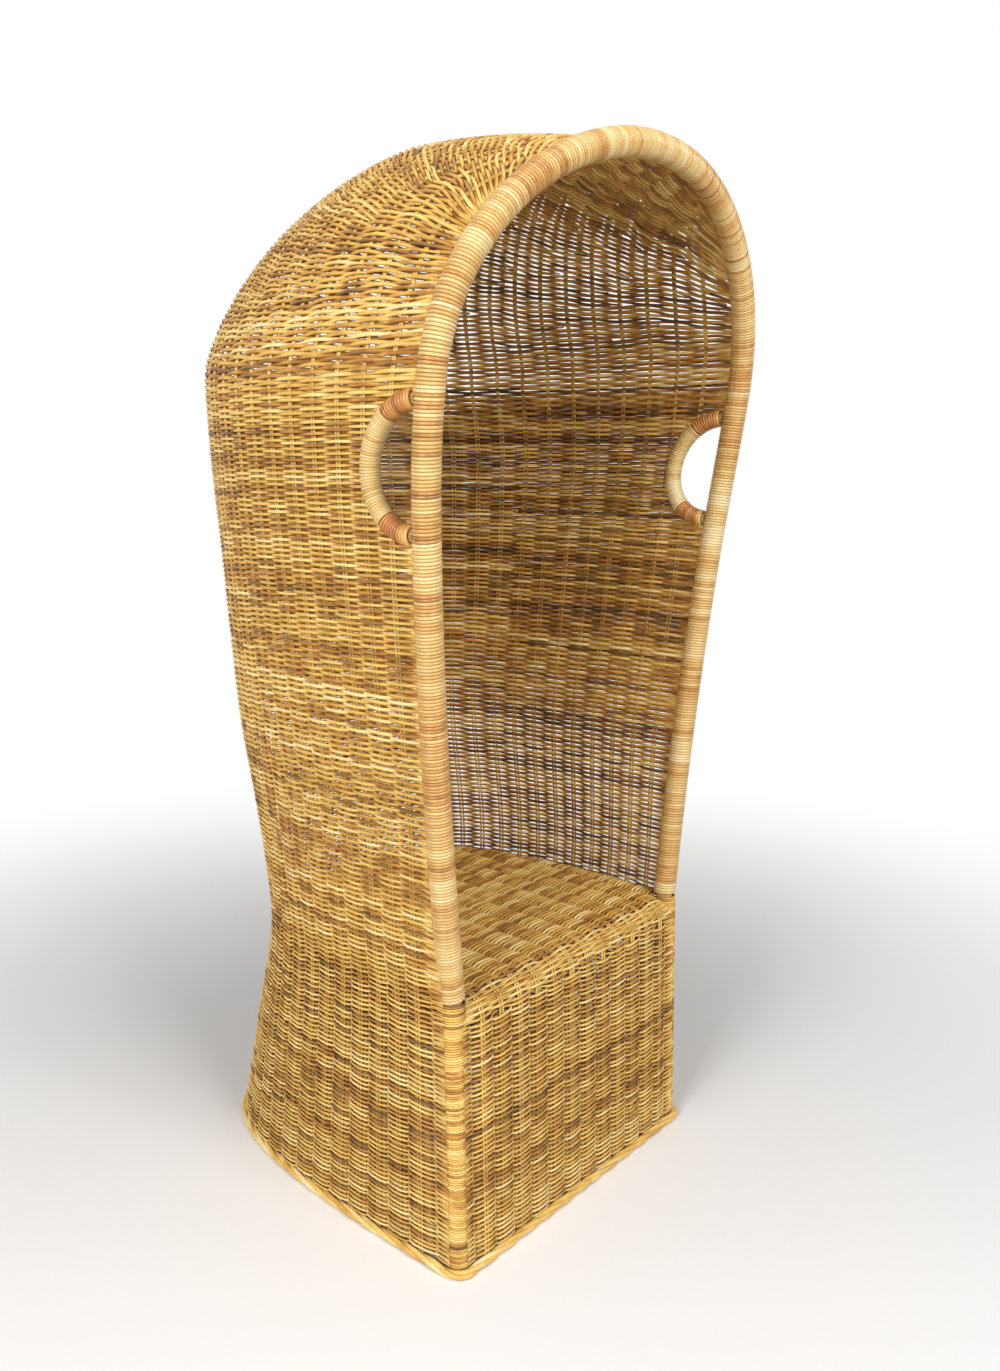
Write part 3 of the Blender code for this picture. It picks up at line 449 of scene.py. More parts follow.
def clearOf(points, hoopTrim=weave["hoopTrim"]):
    # how far each point is outside the bound hoop and the hand holes; below zero it is within them
    hoop = nearest(points, wholeHoop[::4]) - hoopTrim
    mirrored = points.copy()
    mirrored[:, 0] = np.abs(mirrored[:, 0])
    ring = nearest(mirrored[:, 1:], ringLine[::3, 1:])
    rise = (mirrored[:, 2] - chair["handleHeight"]) / chair["handleHalf"]
    front = np.array([handleStart(h) for h in mirrored[:, 2]])
    edge = front + chair["handleReach"] * np.sqrt(np.maximum(1 - rise ** 2, 0))
    inside = (np.abs(rise) < 1) & (mirrored[:, 1] < edge)
    ring = np.where(inside, -ring, ring) - weave["ringTrim"]
    ring = np.where(mirrored[:, 0] > chair["halfAtSeat"], ring, 1.0)
    return np.minimum(hoop, ring)


def runsOf(keep):
    # where each run of true values starts and where it ends
    edges = np.flatnonzero(np.diff(np.concatenate([[0], keep.astype(int), [0]])))
    return zip(edges[::2], edges[1::2])


cutting = {"fine": 6, "leastPart": 0.08}  # parts of a step looked at, and the least that a cut leaves of one


def cutWhere(line, clear):
    # the stretches of a line where clear is above zero, cut at the exact place
    fine, least = cutting["fine"], cutting["leastPart"]
    places = np.linspace(0, len(line) - 1, (len(line) - 1) * fine + 1)
    base = np.arange(len(line))
    values = clear(lookedUp(places, base, line[:, :3]))
    found = []
    for i, after in runsOf(values > 0):
        start, end = places[i], places[after - 1]
        if i > 0:
            start -= values[i] / (values[i] - values[i - 1]) / fine
        if after < len(values):
            end += values[after - 1] / (values[after - 1] - values[after]) / fine
        inner = base[(base > start + least) & (base < end - least)]
        piece = lookedUp(np.concatenate([[start], inner, [end]]), base, line)
        if lengthsAlong(piece[:, :3])[-1] > weave["shortest"]:
            found.append(piece)
    return found


def addBySeam(wefts, line):
    # a row's left side, back and right side, cut at the seam depth
    depth = chair["seamDepth"]
    sides = {"left": lambda p: np.where(p[:, 0] < 0, depth - p[:, 1], -1.0),
             "back": lambda p: p[:, 1] - depth,
             "right": lambda p: np.where(p[:, 0] > 0, depth - p[:, 1], -1.0)}
    for word, clear in sides.items():
        wefts[word] += cutWhere(line, clear)


# one weft: it passes outside a pair of stakes, inside the next, and strays a little

def gapsFromEnd(count):
    # how many gaps each point of a weft is from the nearer end
    index = np.arange(count)
    return np.minimum(index, index[::-1]) / weave["steps"]


def stray(count, size):
    coarse = rng.normal(0, size, count // 3 + 3)
    return np.interp(np.arange(count) / 3, np.arange(len(coarse)), coarse)


def crossing(height, share=1.0):
    # how a weft passes the stakes at this height; share is that of its draw
    draw = atHeight(height, "draws") * atHeight(height, "pitches") / 2
    return {"depth": atHeight(height, "floats"), "draw": draw * share, "square": atHeight(height, "squares")}


def weft(points, out, up, parity, depth, draw, square, wander=weave["wander"], taper=None, phases=None):
    count = len(points)
    if taper is None:
        taper = eased(gapsFromEnd(count) / weave["endFlat"])
    if phases is None:
        phases = np.arange(count) / weave["steps"]
    wave = np.cos((phases + parity) * math.pi)
    offset = depth * taper * np.tanh(square * wave) / math.tanh(square) + stray(count, wander * 0.6)
    lift = stray(count, wander) + rng.normal(0, wander * 0.5)
    lift += draw * taper * np.sign(wave) * np.abs(wave) ** weave["drawPower"]
    return points + out * offset[:, None] + up * lift[:, None]


def swayed(height, size):
    # whole rows rise and sink together along their way, and not at all at the border and the last level row
    gaps = np.arange(columns) / weave["steps"]
    wave = sum(np.sin(gaps * perGap + height * perMetre + start)
               for perGap, perMetre, start in weave["swayWaves"]) / 2
    return size * wave * (blend(height, *weave["swayRise"]) * (1 - blend(height, *weave["swayFall"])))


def besidePost(count):
    # 1 midway between a corner post and the first stakes, 0 at the post and past them
    fromEnd = gapsFromEnd(count)
    return blend(fromEnd, *weave["dipRise"]) * (1 - blend(fromEnd, *weave["dipFall"]))


def fullness(height):
    # a row's thickness
    full = atHeight(height, "thicknesses") * atHeight(height, "pitches") / weave["pitch"]
    return full * rng.normal(1, weave["thickSpread"])


def thickened(line, share):
    return np.hstack([line, np.full((len(line), 1), share)])


# what the strands are made into: each line has x, y, z, then its thickness as a share, and for flat canes
# the direction their flat side faces
strands = {
    "tone": 0.60, "toneSpread": 0.15,
    # turn per metre of height, start and size: neighbouring rows are alike, as canes from one bundle are
    "toneWaves": ((23.0, 0.8, 0.05), (61.0, 2.9, 0.06), (137.0, 4.4, 0.07), (331.0, 1.2, 0.06)),
    # a long row is made of several canes, each with its own shade
    "firstLength": (0.5, 2.2), "nextLength": (0.9, 2.6), "lengthSpread": 0.13,
    "smoothAngle": 70,       # degrees
    "power": 2.4,            # how square a flat cane's section is; higher is squarer
}


def strandTone(line, axis=2, shift=0.0):
    # a strand's shade from 0, dark, to 1, pale
    place = float(line[:, axis].mean()) + shift
    slow = sum(math.sin(place * pace + start) * size for pace, start, size in strands["toneWaves"])
    return strands["tone"] + slow + rng.normal(0, strands["toneSpread"])


def plainTone(look):
    return lambda line: look["tone"] + rng.normal(0, look["toneSpread"])


def turnTone(winding):
    # shades that change from turn to turn of a winding, with a dark turn here and there
    def tone(line):
        count = len(line) // winding["points"] + 1
        shades = winding["tone"] + rng.normal(0, winding["turnSpread"], count)
        shades[rng.random(count) < winding["darkShare"]] -= winding["darkDrop"]
        return np.repeat(shades, winding["points"])[:len(line)]
    return tone


def verticesOf(obj, kind):
    values = np.empty(len(obj.data.vertices) * 3)
    obj.data.vertices.foreach_get(kind, values)
    return values.reshape(-1, 3)


def squareOff(obj, lines, corners, power):
    # round canes are pressed to the flat section of split cane
    points = np.concatenate([np.repeat(line[:, :3], corners, axis=0) for line in lines]) + (0, depthShift, 0)
    facing = np.concatenate([np.repeat(line[:, 4:7], corners, axis=0) for line in lines])
    offset = verticesOf(obj, "co") - points
    along = np.abs((unit(offset) * facing).sum(axis=1))
    across = np.sqrt(np.maximum(1 - along ** 2, 0))
    moved = points + offset * ((along ** power + across ** power) ** (-1 / power))[:, None]
    obj.data.vertices.foreach_set("co", moved.ravel())
    obj.data.update()


def inwardness(obj):
    # 1 where a surface faces the inside of the chair, 0 where it faces out; the painted inside shade follows
    # it
    away = verticesOf(obj, "co") - (0, depthShift + weave["insideDepth"], chair["springHeight"])
    away[:, 2] = np.maximum(away[:, 2], 0)
    return eased(0.5 - (unit(away) * verticesOf(obj, "normal")).sum(axis=1))


def newObject(name, data):
    obj = bpy.data.objects.new(name, data)
    bpy.context.scene.collection.objects.link(obj)
    return obj


def canes(name, lines, radius, material, nodes=(), sides=1, tone=strandTone, paintedInsideShade=0.0,
          power=strands["power"]):
    data = bpy.data.curves.new(name, "CURVE")
    data.dimensions = "3D"
    data.bevel_depth = radius
    data.bevel_resolution = sides
    grainAndPaintedShade = []
    corners = 4 + 2 * sides
    for line in lines:
        spline = data.splines.new("POLY")
        spline.points.add(len(line) - 1)
        places = np.ones((len(line), 4))
        places[:, :3] = line[:, :3]
        places[:, 1] += depthShift
        spline.points.foreach_set("co", places.ravel())
        if line.shape[1] > 3:
            spline.points.foreach_set("radius", line[:, 3].copy())
        lengths = lengthsAlong(line[:, :3])
        shade = tone(line)
        shades, numbers = np.zeros(len(line)) + shade, np.full(len(line), rng.uniform(0, 1))
        start = rng.uniform(*strands["firstLength"])
        while start < lengths[-1]:
            beyond = lengths > start
            shades[beyond] = (shade + rng.normal(0, strands["lengthSpread"]) + np.zeros(len(line)))[beyond]
            numbers[beyond] = rng.uniform(0, 1)
            start += rng.uniform(*strands["nextLength"])
        grainAndPaintedShade.append(np.repeat(np.stack([lengths, numbers, shades], axis=1), corners, axis=0))
    grainAndPaintedShade = np.concatenate(grainAndPaintedShade)
    obj = newObject(name, data)
    bpy.ops.object.select_all(action="DESELECT")
    bpy.context.view_layer.objects.active = obj
    obj.select_set(True)
    bpy.ops.object.convert(target="MESH")
    obj = bpy.context.object
    bpy.ops.object.mode_set(mode="EDIT")
    bpy.ops.mesh.select_all(action="SELECT")
    bpy.ops.mesh.fill_holes(sides=0)
    bpy.ops.object.mode_set(mode="OBJECT")
    if lines[0].shape[1] > 4:
        squareOff(obj, lines, corners, power)
    # painted shade: the tone of the inward sides is lowered, standing in for the shade inside the chair
    if paintedInsideShade:
        grainAndPaintedShade[:, 2] -= paintedInsideShade * inwardness(obj)
    # the attribute holds each point's length along the cane, a number per cane, and its tone with the
    # painted inside shade in it
    attribute = obj.data.attributes.new("grainAndPaintedShade", "FLOAT_VECTOR", "POINT")
    attribute.data.foreach_set("vector", grainAndPaintedShade.astype(np.float32).ravel())
    bpy.ops.object.shade_smooth_by_angle(angle=math.radians(strands["smoothAngle"]))
    obj.data.materials.clear()
    obj.data.materials.append(material)
    obj.select_set(False)
    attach(obj, "root")
    if nodes:
        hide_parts(*nodes)
    triangles = sum(len(face.vertices) - 2 for face in obj.data.polygons)
    print(name, len(lines), "strands,", triangles, "triangles")


# materials

def setInputs(tree, made, inputs):
    # each input takes a value, or the socket that feeds it
    for key, value in inputs.items():
        if isinstance(value, bpy.types.NodeSocket):
            tree.links.new(value, made.inputs[key])
        else:
            made.inputs[key].default_value = value


def node(tree, kind, inputs=None, **values):
    made = tree.nodes.new(kind)
    for key, value in values.items():
        setattr(made, key, value)
    setInputs(tree, made, inputs or {})
    return made


def maths(tree, operation, first, second, clamp=False):
    made = node(tree, "ShaderNodeMath", {0: first, 1: second}, operation=operation, use_clamp=clamp)
    return made.outputs[0]


def objectPlace(tree):
    return node(tree, "ShaderNodeTexCoord").outputs["Object"]


def noise(tree, place, detail, scale=1.0):
    inputs = {"Vector": place, "Detail": detail, "Scale": scale}
    return node(tree, "ShaderNodeTexNoise", inputs).outputs[0]


def stretchedNoise(tree, scale, detail):
    mapping = node(tree, "ShaderNodeMapping", {"Vector": objectPlace(tree), "Scale": scale})
    return noise(tree, mapping.outputs[0], detail)


def colourRamp(tree, factor, stops):
    made = node(tree, "ShaderNodeValToRGB", {0: factor})
    elements = made.color_ramp.elements
    for position, _ in stops[2:]:
        elements.new(position)
    for element, (position, colour) in zip(elements, stops):
        element.position = position
        element.color = (*colour, 1.0)
    return made.outputs[0]


def bumpFrom(tree, height, strength, distance):
    inputs = {"Height": height, "Strength": strength, "Distance": distance}
    return node(tree, "ShaderNodeBump", inputs).outputs[0]


def newMaterial(name):
    material = bpy.data.materials.new(name)
    material.use_nodes = True
    return material, material.node_tree, material.node_tree.nodes["Principled BSDF"]


def caneMaterial(name, look):
    material, tree, shader = newMaterial(name)
    # the tone read from the attribute carries the canes' own shades and the painted shade of their inward
    # sides
    grainAndPaintedShade = node(tree, "ShaderNodeAttribute", attribute_name="grainAndPaintedShade").outputs["Vector"]
    length, number, shade = node(tree, "ShaderNodeSeparateXYZ", {0: grainAndPaintedShade}).outputs

    def alongNoise(perMetre, seed, detail):
        # noise that changes along a strand and from strand to strand
        inputs = {0: maths(tree, "MULTIPLY", length, perMetre), 1: maths(tree, "MULTIPLY", number, 97.0),
                  2: seed}
        return noise(tree, node(tree, "ShaderNodeCombineXYZ", inputs).outputs[0], detail)

    patches = alongNoise(look["patchesPerMetre"], 0.0, 2.0)
    flecks = alongNoise(look["flecksPerMetre"], 31.0, 3.0)
    # stains that cross from strand to strand
    blotches = stretchedNoise(tree, look["blotchScale"], 2.0)
    tone = shade
    for pattern, strength in ((patches, "patchDepth"), (flecks, "fleckDepth"), (blotches, "blotchDepth")):
        change = maths(tree, "MULTIPLY", maths(tree, "SUBTRACT", pattern, 0.5), look[strength])
        tone = maths(tree, "ADD", tone, change)
    # fine fibres along the cane's skin
    fibres = noise(tree, objectPlace(tree), 3.0, look["fibreScale"])
    tint = colourRamp(tree, fibres, ((0.35, look["fibreTint"]), (0.62, (1.0, 1.0, 1.0))))
    colour = colourRamp(tree, tone, look["stops"])
    darken = node(tree, "ShaderNodeMix", {0: look["fibreDepth"], 6: colour, 7: tint},
                  data_type="RGBA", blend_type="MULTIPLY")
    roughness = maths(tree, "ADD", maths(tree, "MULTIPLY", flecks, look["glossChange"]), look["roughness"],
                      clamp=True)
    setInputs(tree, shader, {"Base Color": darken.outputs[2], "Roughness": roughness,
                             "Specular IOR Level": look["specular"],
                             "Normal": bumpFrom(tree, fibres, look["bump"], 0.0004)})
    return material


darkBrown, oliveBrown, orangeBrown = (0.120, 0.056, 0.020), (0.215, 0.110, 0.030), (0.40, 0.175, 0.036)
golden, straw, paleStraw = (0.62, 0.37, 0.080), (0.76, 0.52, 0.155), (0.85, 0.67, 0.31)
weftLook = {
    "stops": ((0.02, darkBrown), (0.20, oliveBrown), (0.38, orangeBrown), (0.58, golden), (0.80, straw),
              (1.0, paleStraw)),
    "patchesPerMetre": 11.0, "flecksPerMetre": 60.0, "patchDepth": 0.60, "fleckDepth": 0.30,
    "blotchScale": (22.0, 22.0, 42.0), "blotchDepth": 0.62,
    "fibreScale": 900.0, "fibreDepth": 0.5, "fibreTint": (0.62, 0.50, 0.38),
    "roughness": 0.36, "glossChange": 0.22, "specular": 0.32, "bump": 0.25,
}
stakeLook = dict(weftLook, patchDepth=0.35, fleckDepth=0.2, blotchDepth=0.4)
bindingLook = dict(
    weftLook, patchesPerMetre=4.0, patchDepth=0.35, blotchDepth=0.3, specular=0.5, roughness=0.22, bump=0.15,
    stops=((0.02, darkBrown), (0.20, (0.24, 0.105, 0.030)), (0.40, (0.45, 0.22, 0.055)),
           (0.58, (0.55, 0.335, 0.105)), (0.80, (0.63, 0.455, 0.185)), (1.0, (0.71, 0.575, 0.32))))
lashingLook = dict(
    weftLook, patchDepth=0.3, blotchDepth=0.0, specular=0.5, roughness=0.22,
    stops=((0.0, (0.14, 0.045, 0.014)), (0.30, (0.32, 0.115, 0.028)), (0.55, (0.50, 0.21, 0.050)),
           (0.80, (0.62, 0.34, 0.085)), (1.0, (0.75, 0.50, 0.16))))
weftCane = caneMaterial("weftCane", weftLook)
stakeCane = caneMaterial("stakeCane", stakeLook)
bindingCane = caneMaterial("bindingCane", bindingLook)
lashingCane = caneMaterial("lashingCane", lashingLook)

# peeled rattan pole: pale brown, with long dark fibres
poleLook = {"scale": (160.0, 160.0, 6.0), "detail": 4.0, "roughness": 0.5, "bump": (0.3, 0.0006),
            "stops": ((0.32, (0.26, 0.13, 0.045)), (0.68, (0.56, 0.36, 0.14)))}
rattanPole, tree, shader = newMaterial("rattanPole")
fibres = stretchedNoise(tree, poleLook["scale"], poleLook["detail"])
setInputs(tree, shader, {"Base Color": colourRamp(tree, fibres, poleLook["stops"]),
                         "Roughness": poleLook["roughness"],
                         "Normal": bumpFrom(tree, fibres, *poleLook["bump"])})
for name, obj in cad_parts.items():
    if name.startswith(("front_hoop", "rear_leg", "foot_rail", "seat_rail", "seat_slat", "handle_core")):
        for slot in obj.material_slots:
            slot.material = rattanPole
print("materials made")


# wefts of the body and the base

def cornerTurn(height, side, turn):
    # a weft round the front of a corner post
    radius = chair["baseOut"] - weave["inset"]
    turns = np.radians(np.linspace(0, *turn))
    return np.stack([side * (hoopHalf(height) + radius * np.cos(turns)),
                     hoopDepth(height) - radius * np.sin(turns), np.full(len(turns), height)], axis=1)


def levelLine(x, depth, height):
    return np.stack([x, np.full(len(x), depth), np.full(len(x), height)], axis=1)


bodyWefts = {"left": [], "back": [], "right": []}
baseWefts = {"left": [], "right": [], "back": [], "front": []}
cornerWefts = {"left": [], "right": []}
rowHeights = [2 * chair["borderRadius"] + chair["gap"] + weave["weftRadius"]]
while rowHeights[-1] + atHeight(rowHeights[-1], "pitches") < chair["levelRowsTop"]:
    rowHeights.append(rowHeights[-1] + atHeight(rowHeights[-1], "pitches"))
frontCount = weave["frontGaps"] * weave["steps"] + 1

for k, height in enumerate(rowHeights):
    points, out, up = (splayed(row, height) for row in netRow(height / levelStep))
    above = blend(height, *weave["bodyBlend"])
    points = points + up * swayed(height, weave["baseSway"] * (1 - above) + weave["sway"] * above)[:, None]
    dip = (weave["postDip"] * (1 - above) * besidePost(columns))[:, None]
    points = points - (out + up * weave["dipSink"]) * dip
    wander = weave["baseWander"] * (1 - above) + weave["wander"] * above
    line = weft(points, out, up, k % 2, wander=wander, **crossing(height, backShare))
    line[0], line[-1] = points[0], points[-1]
    thick = fullness(height)
    line = thickened(line, thick)
    if height > chair["seatTop"]:
        for piece in cutWhere(line, clearOf):
            addBySeam(bodyWefts, piece)
        continue
    addBySeam(baseWefts, line)
    onFront = height < chair["rollHeight"]
    for side, word, end in ((-1, "left", 0), (1, "right", -1)):
        turn = cornerTurn(height, side, weave["frontTurn"] if onFront else weave["rollTurn"])
        turn[:, 2] += (line[end, 2] - height) * np.linspace(1, 0, len(turn))
        cornerWefts[word].append(thickened(turn, thick))
    if onFront:
        x = np.linspace(-hoopHalf(height), hoopHalf(height), frontCount)
        flat = levelLine(x, hoopDepth(height) - chair["baseOut"] + weave["inset"], height)
        dip = weave["postDip"] * besidePost(frontCount)
        flat[:, 1] += dip
        sway = swayed(height, weave["baseSway"])[:frontCount] * eased(gapsFromEnd(frontCount))
        flat[:, 2] += sway - dip * weave["dipSink"]
        front = weft(flat, np.array((0.0, -1.0, 0.0)), np.array((0.0, 0.0, 1.0)), k % 2,
                     wander=weave["baseWander"], **crossing(height))
        front[0], front[-1] = flat[0], flat[-1]
        baseWefts["front"].append(thickened(front, thick))
print("level wefts laid")


def wefts(name, lines, cadNode, tone=strandTone, paintedInsideShade=weave["paintedInsideShade"]):
    canes(name, lines, weave["weftRadius"], weftCane, [cadNode], tone=tone, paintedInsideShade=paintedInsideShade)


def inHood(line):
    return line[:, 2].mean() > chair["springHeight"]


hoodWefts = [line for lines in bodyWefts.values() for line in lines if inHood(line)]
left, back, right = ([line for line in lines if not inHood(line)] for lines in bodyWefts.values())
middleHeight = (chair["seatTop"] + chair["springHeight"]) / 2
wefts("sideWeftsLeft", left, "side_weave_left")
wefts("sideWeftsRight", right, "side_weave_right")
wefts("backWeftsLower", [line for line in back if line[0, 2] < middleHeight], "back_weave")
wefts("backWeftsUpper", [line for line in back if line[0, 2] >= middleHeight], "back_weave")
# the base's and corners' wefts are paler, with stronger painted shade on their inward sides darkening the
# crevices
for kind, found in (("base", baseWefts), ("corner", cornerWefts)):
    for word, lines in found.items():
        wefts(kind + "Wefts" + word.capitalize(), lines, kind + "_weave_" + word,
              lambda line: strandTone(line) + weave["basePaler"], weave["basePaintedInsideShade"])

# wefts of the dome
rows, stakeNet = domeRows()
domeHeight = chair["levelRowsTop"]
passing = crossing(domeHeight, backShare)
passing["draw"] *= weave["domeDraw"]
for k, (points, out, up, weights) in enumerate(rows):
    gapWidths = np.gradient(lengthsAlong(points)) * weave["steps"]
    room = fan["leastFloat"] + (1 - fan["leastFloat"]) * blend(gapWidths, *fan["floatBlend"])
    line = weft(points, out, up, (len(rowHeights) + k) % 2, **dict(passing, depth=passing["depth"] * room))
    whole = eased((weights - fan["leastWeight"]) / (fan["wholeWeight"] - fan["leastWeight"]))
    thin = fan["leastThin"] + (1 - fan["leastThin"]) * whole
    line = np.hstack([line, fan["thin"] * thin[:, None] * fullness(domeHeight)])
    for start, end in runsOf(weights > fan["leastWeight"]):
        if end - start >= 2 * weave["steps"]:
            hoodWefts += cutWhere(line[start:end], clearOf)
third = len(hoodWefts) // 3
wefts("hoodWeftsLower", hoodWefts[:third], "hood_weave")
wefts("hoodWeftsMiddle", hoodWefts[third:2 * third], "hood_weave")
wefts("hoodWeftsUpper", hoodWefts[2 * third:], "hood_weave")

# stakes in pairs, from the border up the skin to the hoop
# the stakes' inward sides get a little painted shade as well, for the shade inside the chair
stakes = {"step": 0.022, "topTrim": 0.0165, "tone": 0.74, "toneSpread": 0.08, "paintedInsideShade": 0.04}
stakeLines = []
levelStakes = [splayed(row, i * levelStep) for i, row in enumerate(middleNet[:grid["levels"] + 1])]
wholeNet = np.concatenate([levelStakes, stakeNet[1:]])
wholeAcross = unit(np.gradient(wholeNet, axis=1))
for i in range(1, weave["gaps"]):
    column = i * weave["steps"]
    line, across = wholeNet[:, column], wholeAcross[:, column]
    outward = column + (-weave["steps"] if i < weave["gaps"] / 2 else weave["steps"])
    near = np.linalg.norm(line - wholeNet[:, outward], axis=1) < fan["crowded"][i % 2]
    keep = (line[:, 2] > chair["borderRadius"]) & (np.cumsum(near) == 0)
    line, across = line[keep], across[keep]
    lengths = lengthsAlong(line)
    places = np.linspace(0, lengths[-1], int(lengths[-1] / stakes["step"]))
    line, across = placesOn(line, places), lookedUp(places, lengths, across)
    apart = np.interp(line[:, 2], weave["closeHeights"], (weave["pairHalf"], weave["hoodPairHalf"]))[:, None]
    for side in (-1, 1):
        stakeLines += cutWhere(line + across * side * apart, lambda p: clearOf(p, stakes["topTrim"]))
canes("stakes", stakeLines, weave["stakeRadius"], stakeCane, tone=plainTone(stakes),
      paintedInsideShade=stakes["paintedInsideShade"])

# the seat: wefts from side to side, and stake pairs that bend over its front edge and run down into the base
seat = {"wallGap": 0.001, "postDepth": 0.021, "stakeOut": 0.0008, "rollPoints": 19, "runPoints": 12,
        "restShare": 0.4, "stakeStep": 0.012, "toneShift": 3.0}
rollDepth = hoopDepth(chair["rollHeight"]) - chair["baseOut"] + chair["rollRadius"]
rollMiddle = chair["rollRadius"] - weave["inset"]
seatLevel = chair["seatTop"] - weave["inset"]
wall = levelRow(chair["seatTop"])
leftWall = wall[:len(wall) // 2]
wallBack = backDepth(chair["seatTop"]) - chair["skin"] - weave["seatFloat"]


def seatProfile(outward=0.0):
    # the middle of the seat's weave from the back wall over the front edge to the border
    line = [(wallBack, seatLevel + outward), (rollDepth, seatLevel + outward)]
    radius = rollMiddle + outward
    for turn in np.linspace(math.pi / 2, math.pi, seat["rollPoints"])[1:]:
        line.append((rollDepth + radius * math.cos(turn), chair["rollHeight"] + radius * math.sin(turn)))
    for height in np.linspace(chair["rollHeight"], chair["borderRadius"], seat["runPoints"])[1:]:
        line.append((hoopDepth(height) - chair["baseOut"] + weave["inset"] - outward, height))
    return np.array(line)


def wallHalf(depth):
    return -np.interp(depth, leftWall[:, 1], leftWall[:, 0])


profile = seatProfile()
stakeProfile = seatProfile(seat["stakeOut"])
profileLengths = lengthsAlong(profile)
rollEnd = np.interp(chair["rollHeight"], profile[::-1, 1], profileLengths[::-1])
halfGap = hoopHalf(chair["rollHeight"]) / weave["frontGaps"]
step = 2 * halfGap / weave["steps"]
middle = weave["frontGaps"] * weave["steps"] / 2
inner = np.arange(-frontCount, frontCount + 1) * step
seatWefts = []
for k, place in enumerate(np.arange(weave["weftRadius"], rollEnd - weave["pitch"] / 2, weave["pitch"])):
    depth, height = placesOn(profile, [place])[0]
    ahead = placesOn(profile, [place + 0.001])[0] - placesOn(profile, [place - 0.001])[0]
    ahead = ahead / np.linalg.norm(ahead)
    onSeat = depth > seat["postDepth"]
    if onSeat:
        limit = min(wallHalf(depth) - chair["skin"], wallHalf(depth + chair["skin"])) - seat["wallGap"]
    else:
        # over the rounded front a row ends where it meets the turns round the post
        lead = min(depth - hoopDepth(height), 0.0)
        radius = chair["baseOut"] - weave["inset"]
        limit = hoopHalf(height) - math.sqrt(max(radius ** 2 - lead ** 2, 0.0))
    x = np.concatenate([[-limit], inner[np.abs(inner) < limit - step * seat["restShare"]], [limit]])
    out, up = np.array((0.0, ahead[1], -ahead[0])), np.array((0.0, ahead[0], ahead[1]))
    row = weft(levelLine(x, depth, height), out, up, k % 2, weave["seatFloat"], 0.0, weave["seatSquare"],
               wander=weave["baseWander"], taper=eased((limit - np.abs(x)) / halfGap),
               phases=(x / step + middle) / weave["steps"])
    seatWefts.append(thickened(row, weave["seatThickness"] if onSeat else weave["rollThickness"]))
wefts("seatWefts", seatWefts, "seat_weave", lambda line: strandTone(line, 1, seat["toneShift"]), 0.0)
seatStakes = []
for i in range(1, weave["frontGaps"]):
    x = (2 * i - weave["frontGaps"]) * halfGap
    # a stake starts at the wall behind it, which comes forward at the sides
    beside = abs(x) + weave["pairHalf"] + chair["skin"]
    wallDepth = np.interp(beside, -leftWall[::-1, 0], leftWall[::-1, 1]) - chair["skin"] - seat["wallGap"]
    start = max(0.0, wallBack - wallDepth)
    reach = np.linspace(start, profileLengths[-1], int(profileLengths[-1] / seat["stakeStep"]))
    line = placesOn(stakeProfile, reach)
    wide = np.interp(line[:, 1], (chair["borderRadius"], chair["rollHeight"]),
                     (hoopHalf(0.0) / hoopHalf(chair["rollHeight"]), 1.0))
    for side in (-1, 1):
        seatStakes.append(np.stack([x * wide + side * weave["pairHalf"], line[:, 0], line[:, 1]], axis=1))
canes("seatStakes", seatStakes, weave["stakeRadius"], stakeCane, tone=plainTone(stakes))
print("seat woven")


# the binding wound on the hoop, the rings and the border

def wound(line, reference, start, end, winding, coilRadius, phase=0.0):
    # a helix round a line of points
    places = np.linspace(start, end, int((end - start) / winding["pitch"] * winding["points"]) + 1)
    ahead = unit(placesOn(line, places + 0.002) - placesOn(line, places - 0.002))
    across = unit(np.array(reference) - ahead * (ahead @ np.array(reference))[:, None])
    other = np.cross(ahead, across)
    angles = (2 * math.pi * (places - start) / winding["pitch"] + phase)[:, None]
    facing = np.cos(angles) * across + np.sin(angles) * other
    return np.hstack([placesOn(line, places) + coilRadius * facing, np.ones((len(places), 1)), facing])


# a cane binds a dozen turns or so before the next takes over, so the coil is parted into lengths
binding = {"radius": 0.00248, "pitch": 0.0049, "points": 14, "start": 0.4535, "lie": 0.98,
           "tone": 0.64, "turnSpread": 0.10, "darkShare": 0.05, "darkDrop": 0.22, "darkest": 0.34,
           "lengthTurns": (5, 17), "lengthSpread": 0.10}
hoopPath = hoopLine(binding["start"])
coil = wound(hoopPath, (0, 1, 0), 0.0, lengthsAlong(hoopPath)[-1], binding,
             chair["hoopRadius"] + binding["radius"] * binding["lie"])


def bindingTone(line):
    return np.maximum(turnTone(binding)(line) + rng.normal(0, binding["lengthSpread"]), binding["darkest"])


parts = []
start = 0
while start < len(coil) - 1:
    end = min(start + binding["points"] * int(rng.uniform(*binding["lengthTurns"])), len(coil) - 1)
    if len(coil) - end < 3 * binding["points"]:
        end = len(coil) - 1
    parts.append(coil[start:end + 1])
    start = end
canes("hoopBinding", parts, binding["radius"], bindingCane, ["arch_binding"], sides=2,
      tone=bindingTone)

wrap = {"radius": 0.00225, "pitch": 0.00430, "points": 14, "lie": 0.0027, "power": 3.4, "gap": 0.002,
        "tone": 0.74, "turnSpread": 0.045, "darkShare": 0.05, "darkDrop": 0.25}
lashing = {"radius": 0.00245, "pitch": 0.0052, "points": 16, "lie": 0.0028, "start": 0.0035, "turns": 10.2,
           "tone": 0.48, "turnSpread": 0.10, "darkShare": 0.1, "darkDrop": 0.15, "paler": 0.40,
           "paleTurns": 3.5}
ringReach = lengthsAlong(ringLine)[-1]
lashEnd = lashing["start"] + lashing["turns"] * lashing["pitch"]


def lashingTone(line):
    # pale next to the hoop, then red-brown
    fade = eased(np.arange(len(line)) / lashing["points"] / lashing["paleTurns"])
    return turnTone(lashing)(line) + lashing["paler"] * (1 - fade)


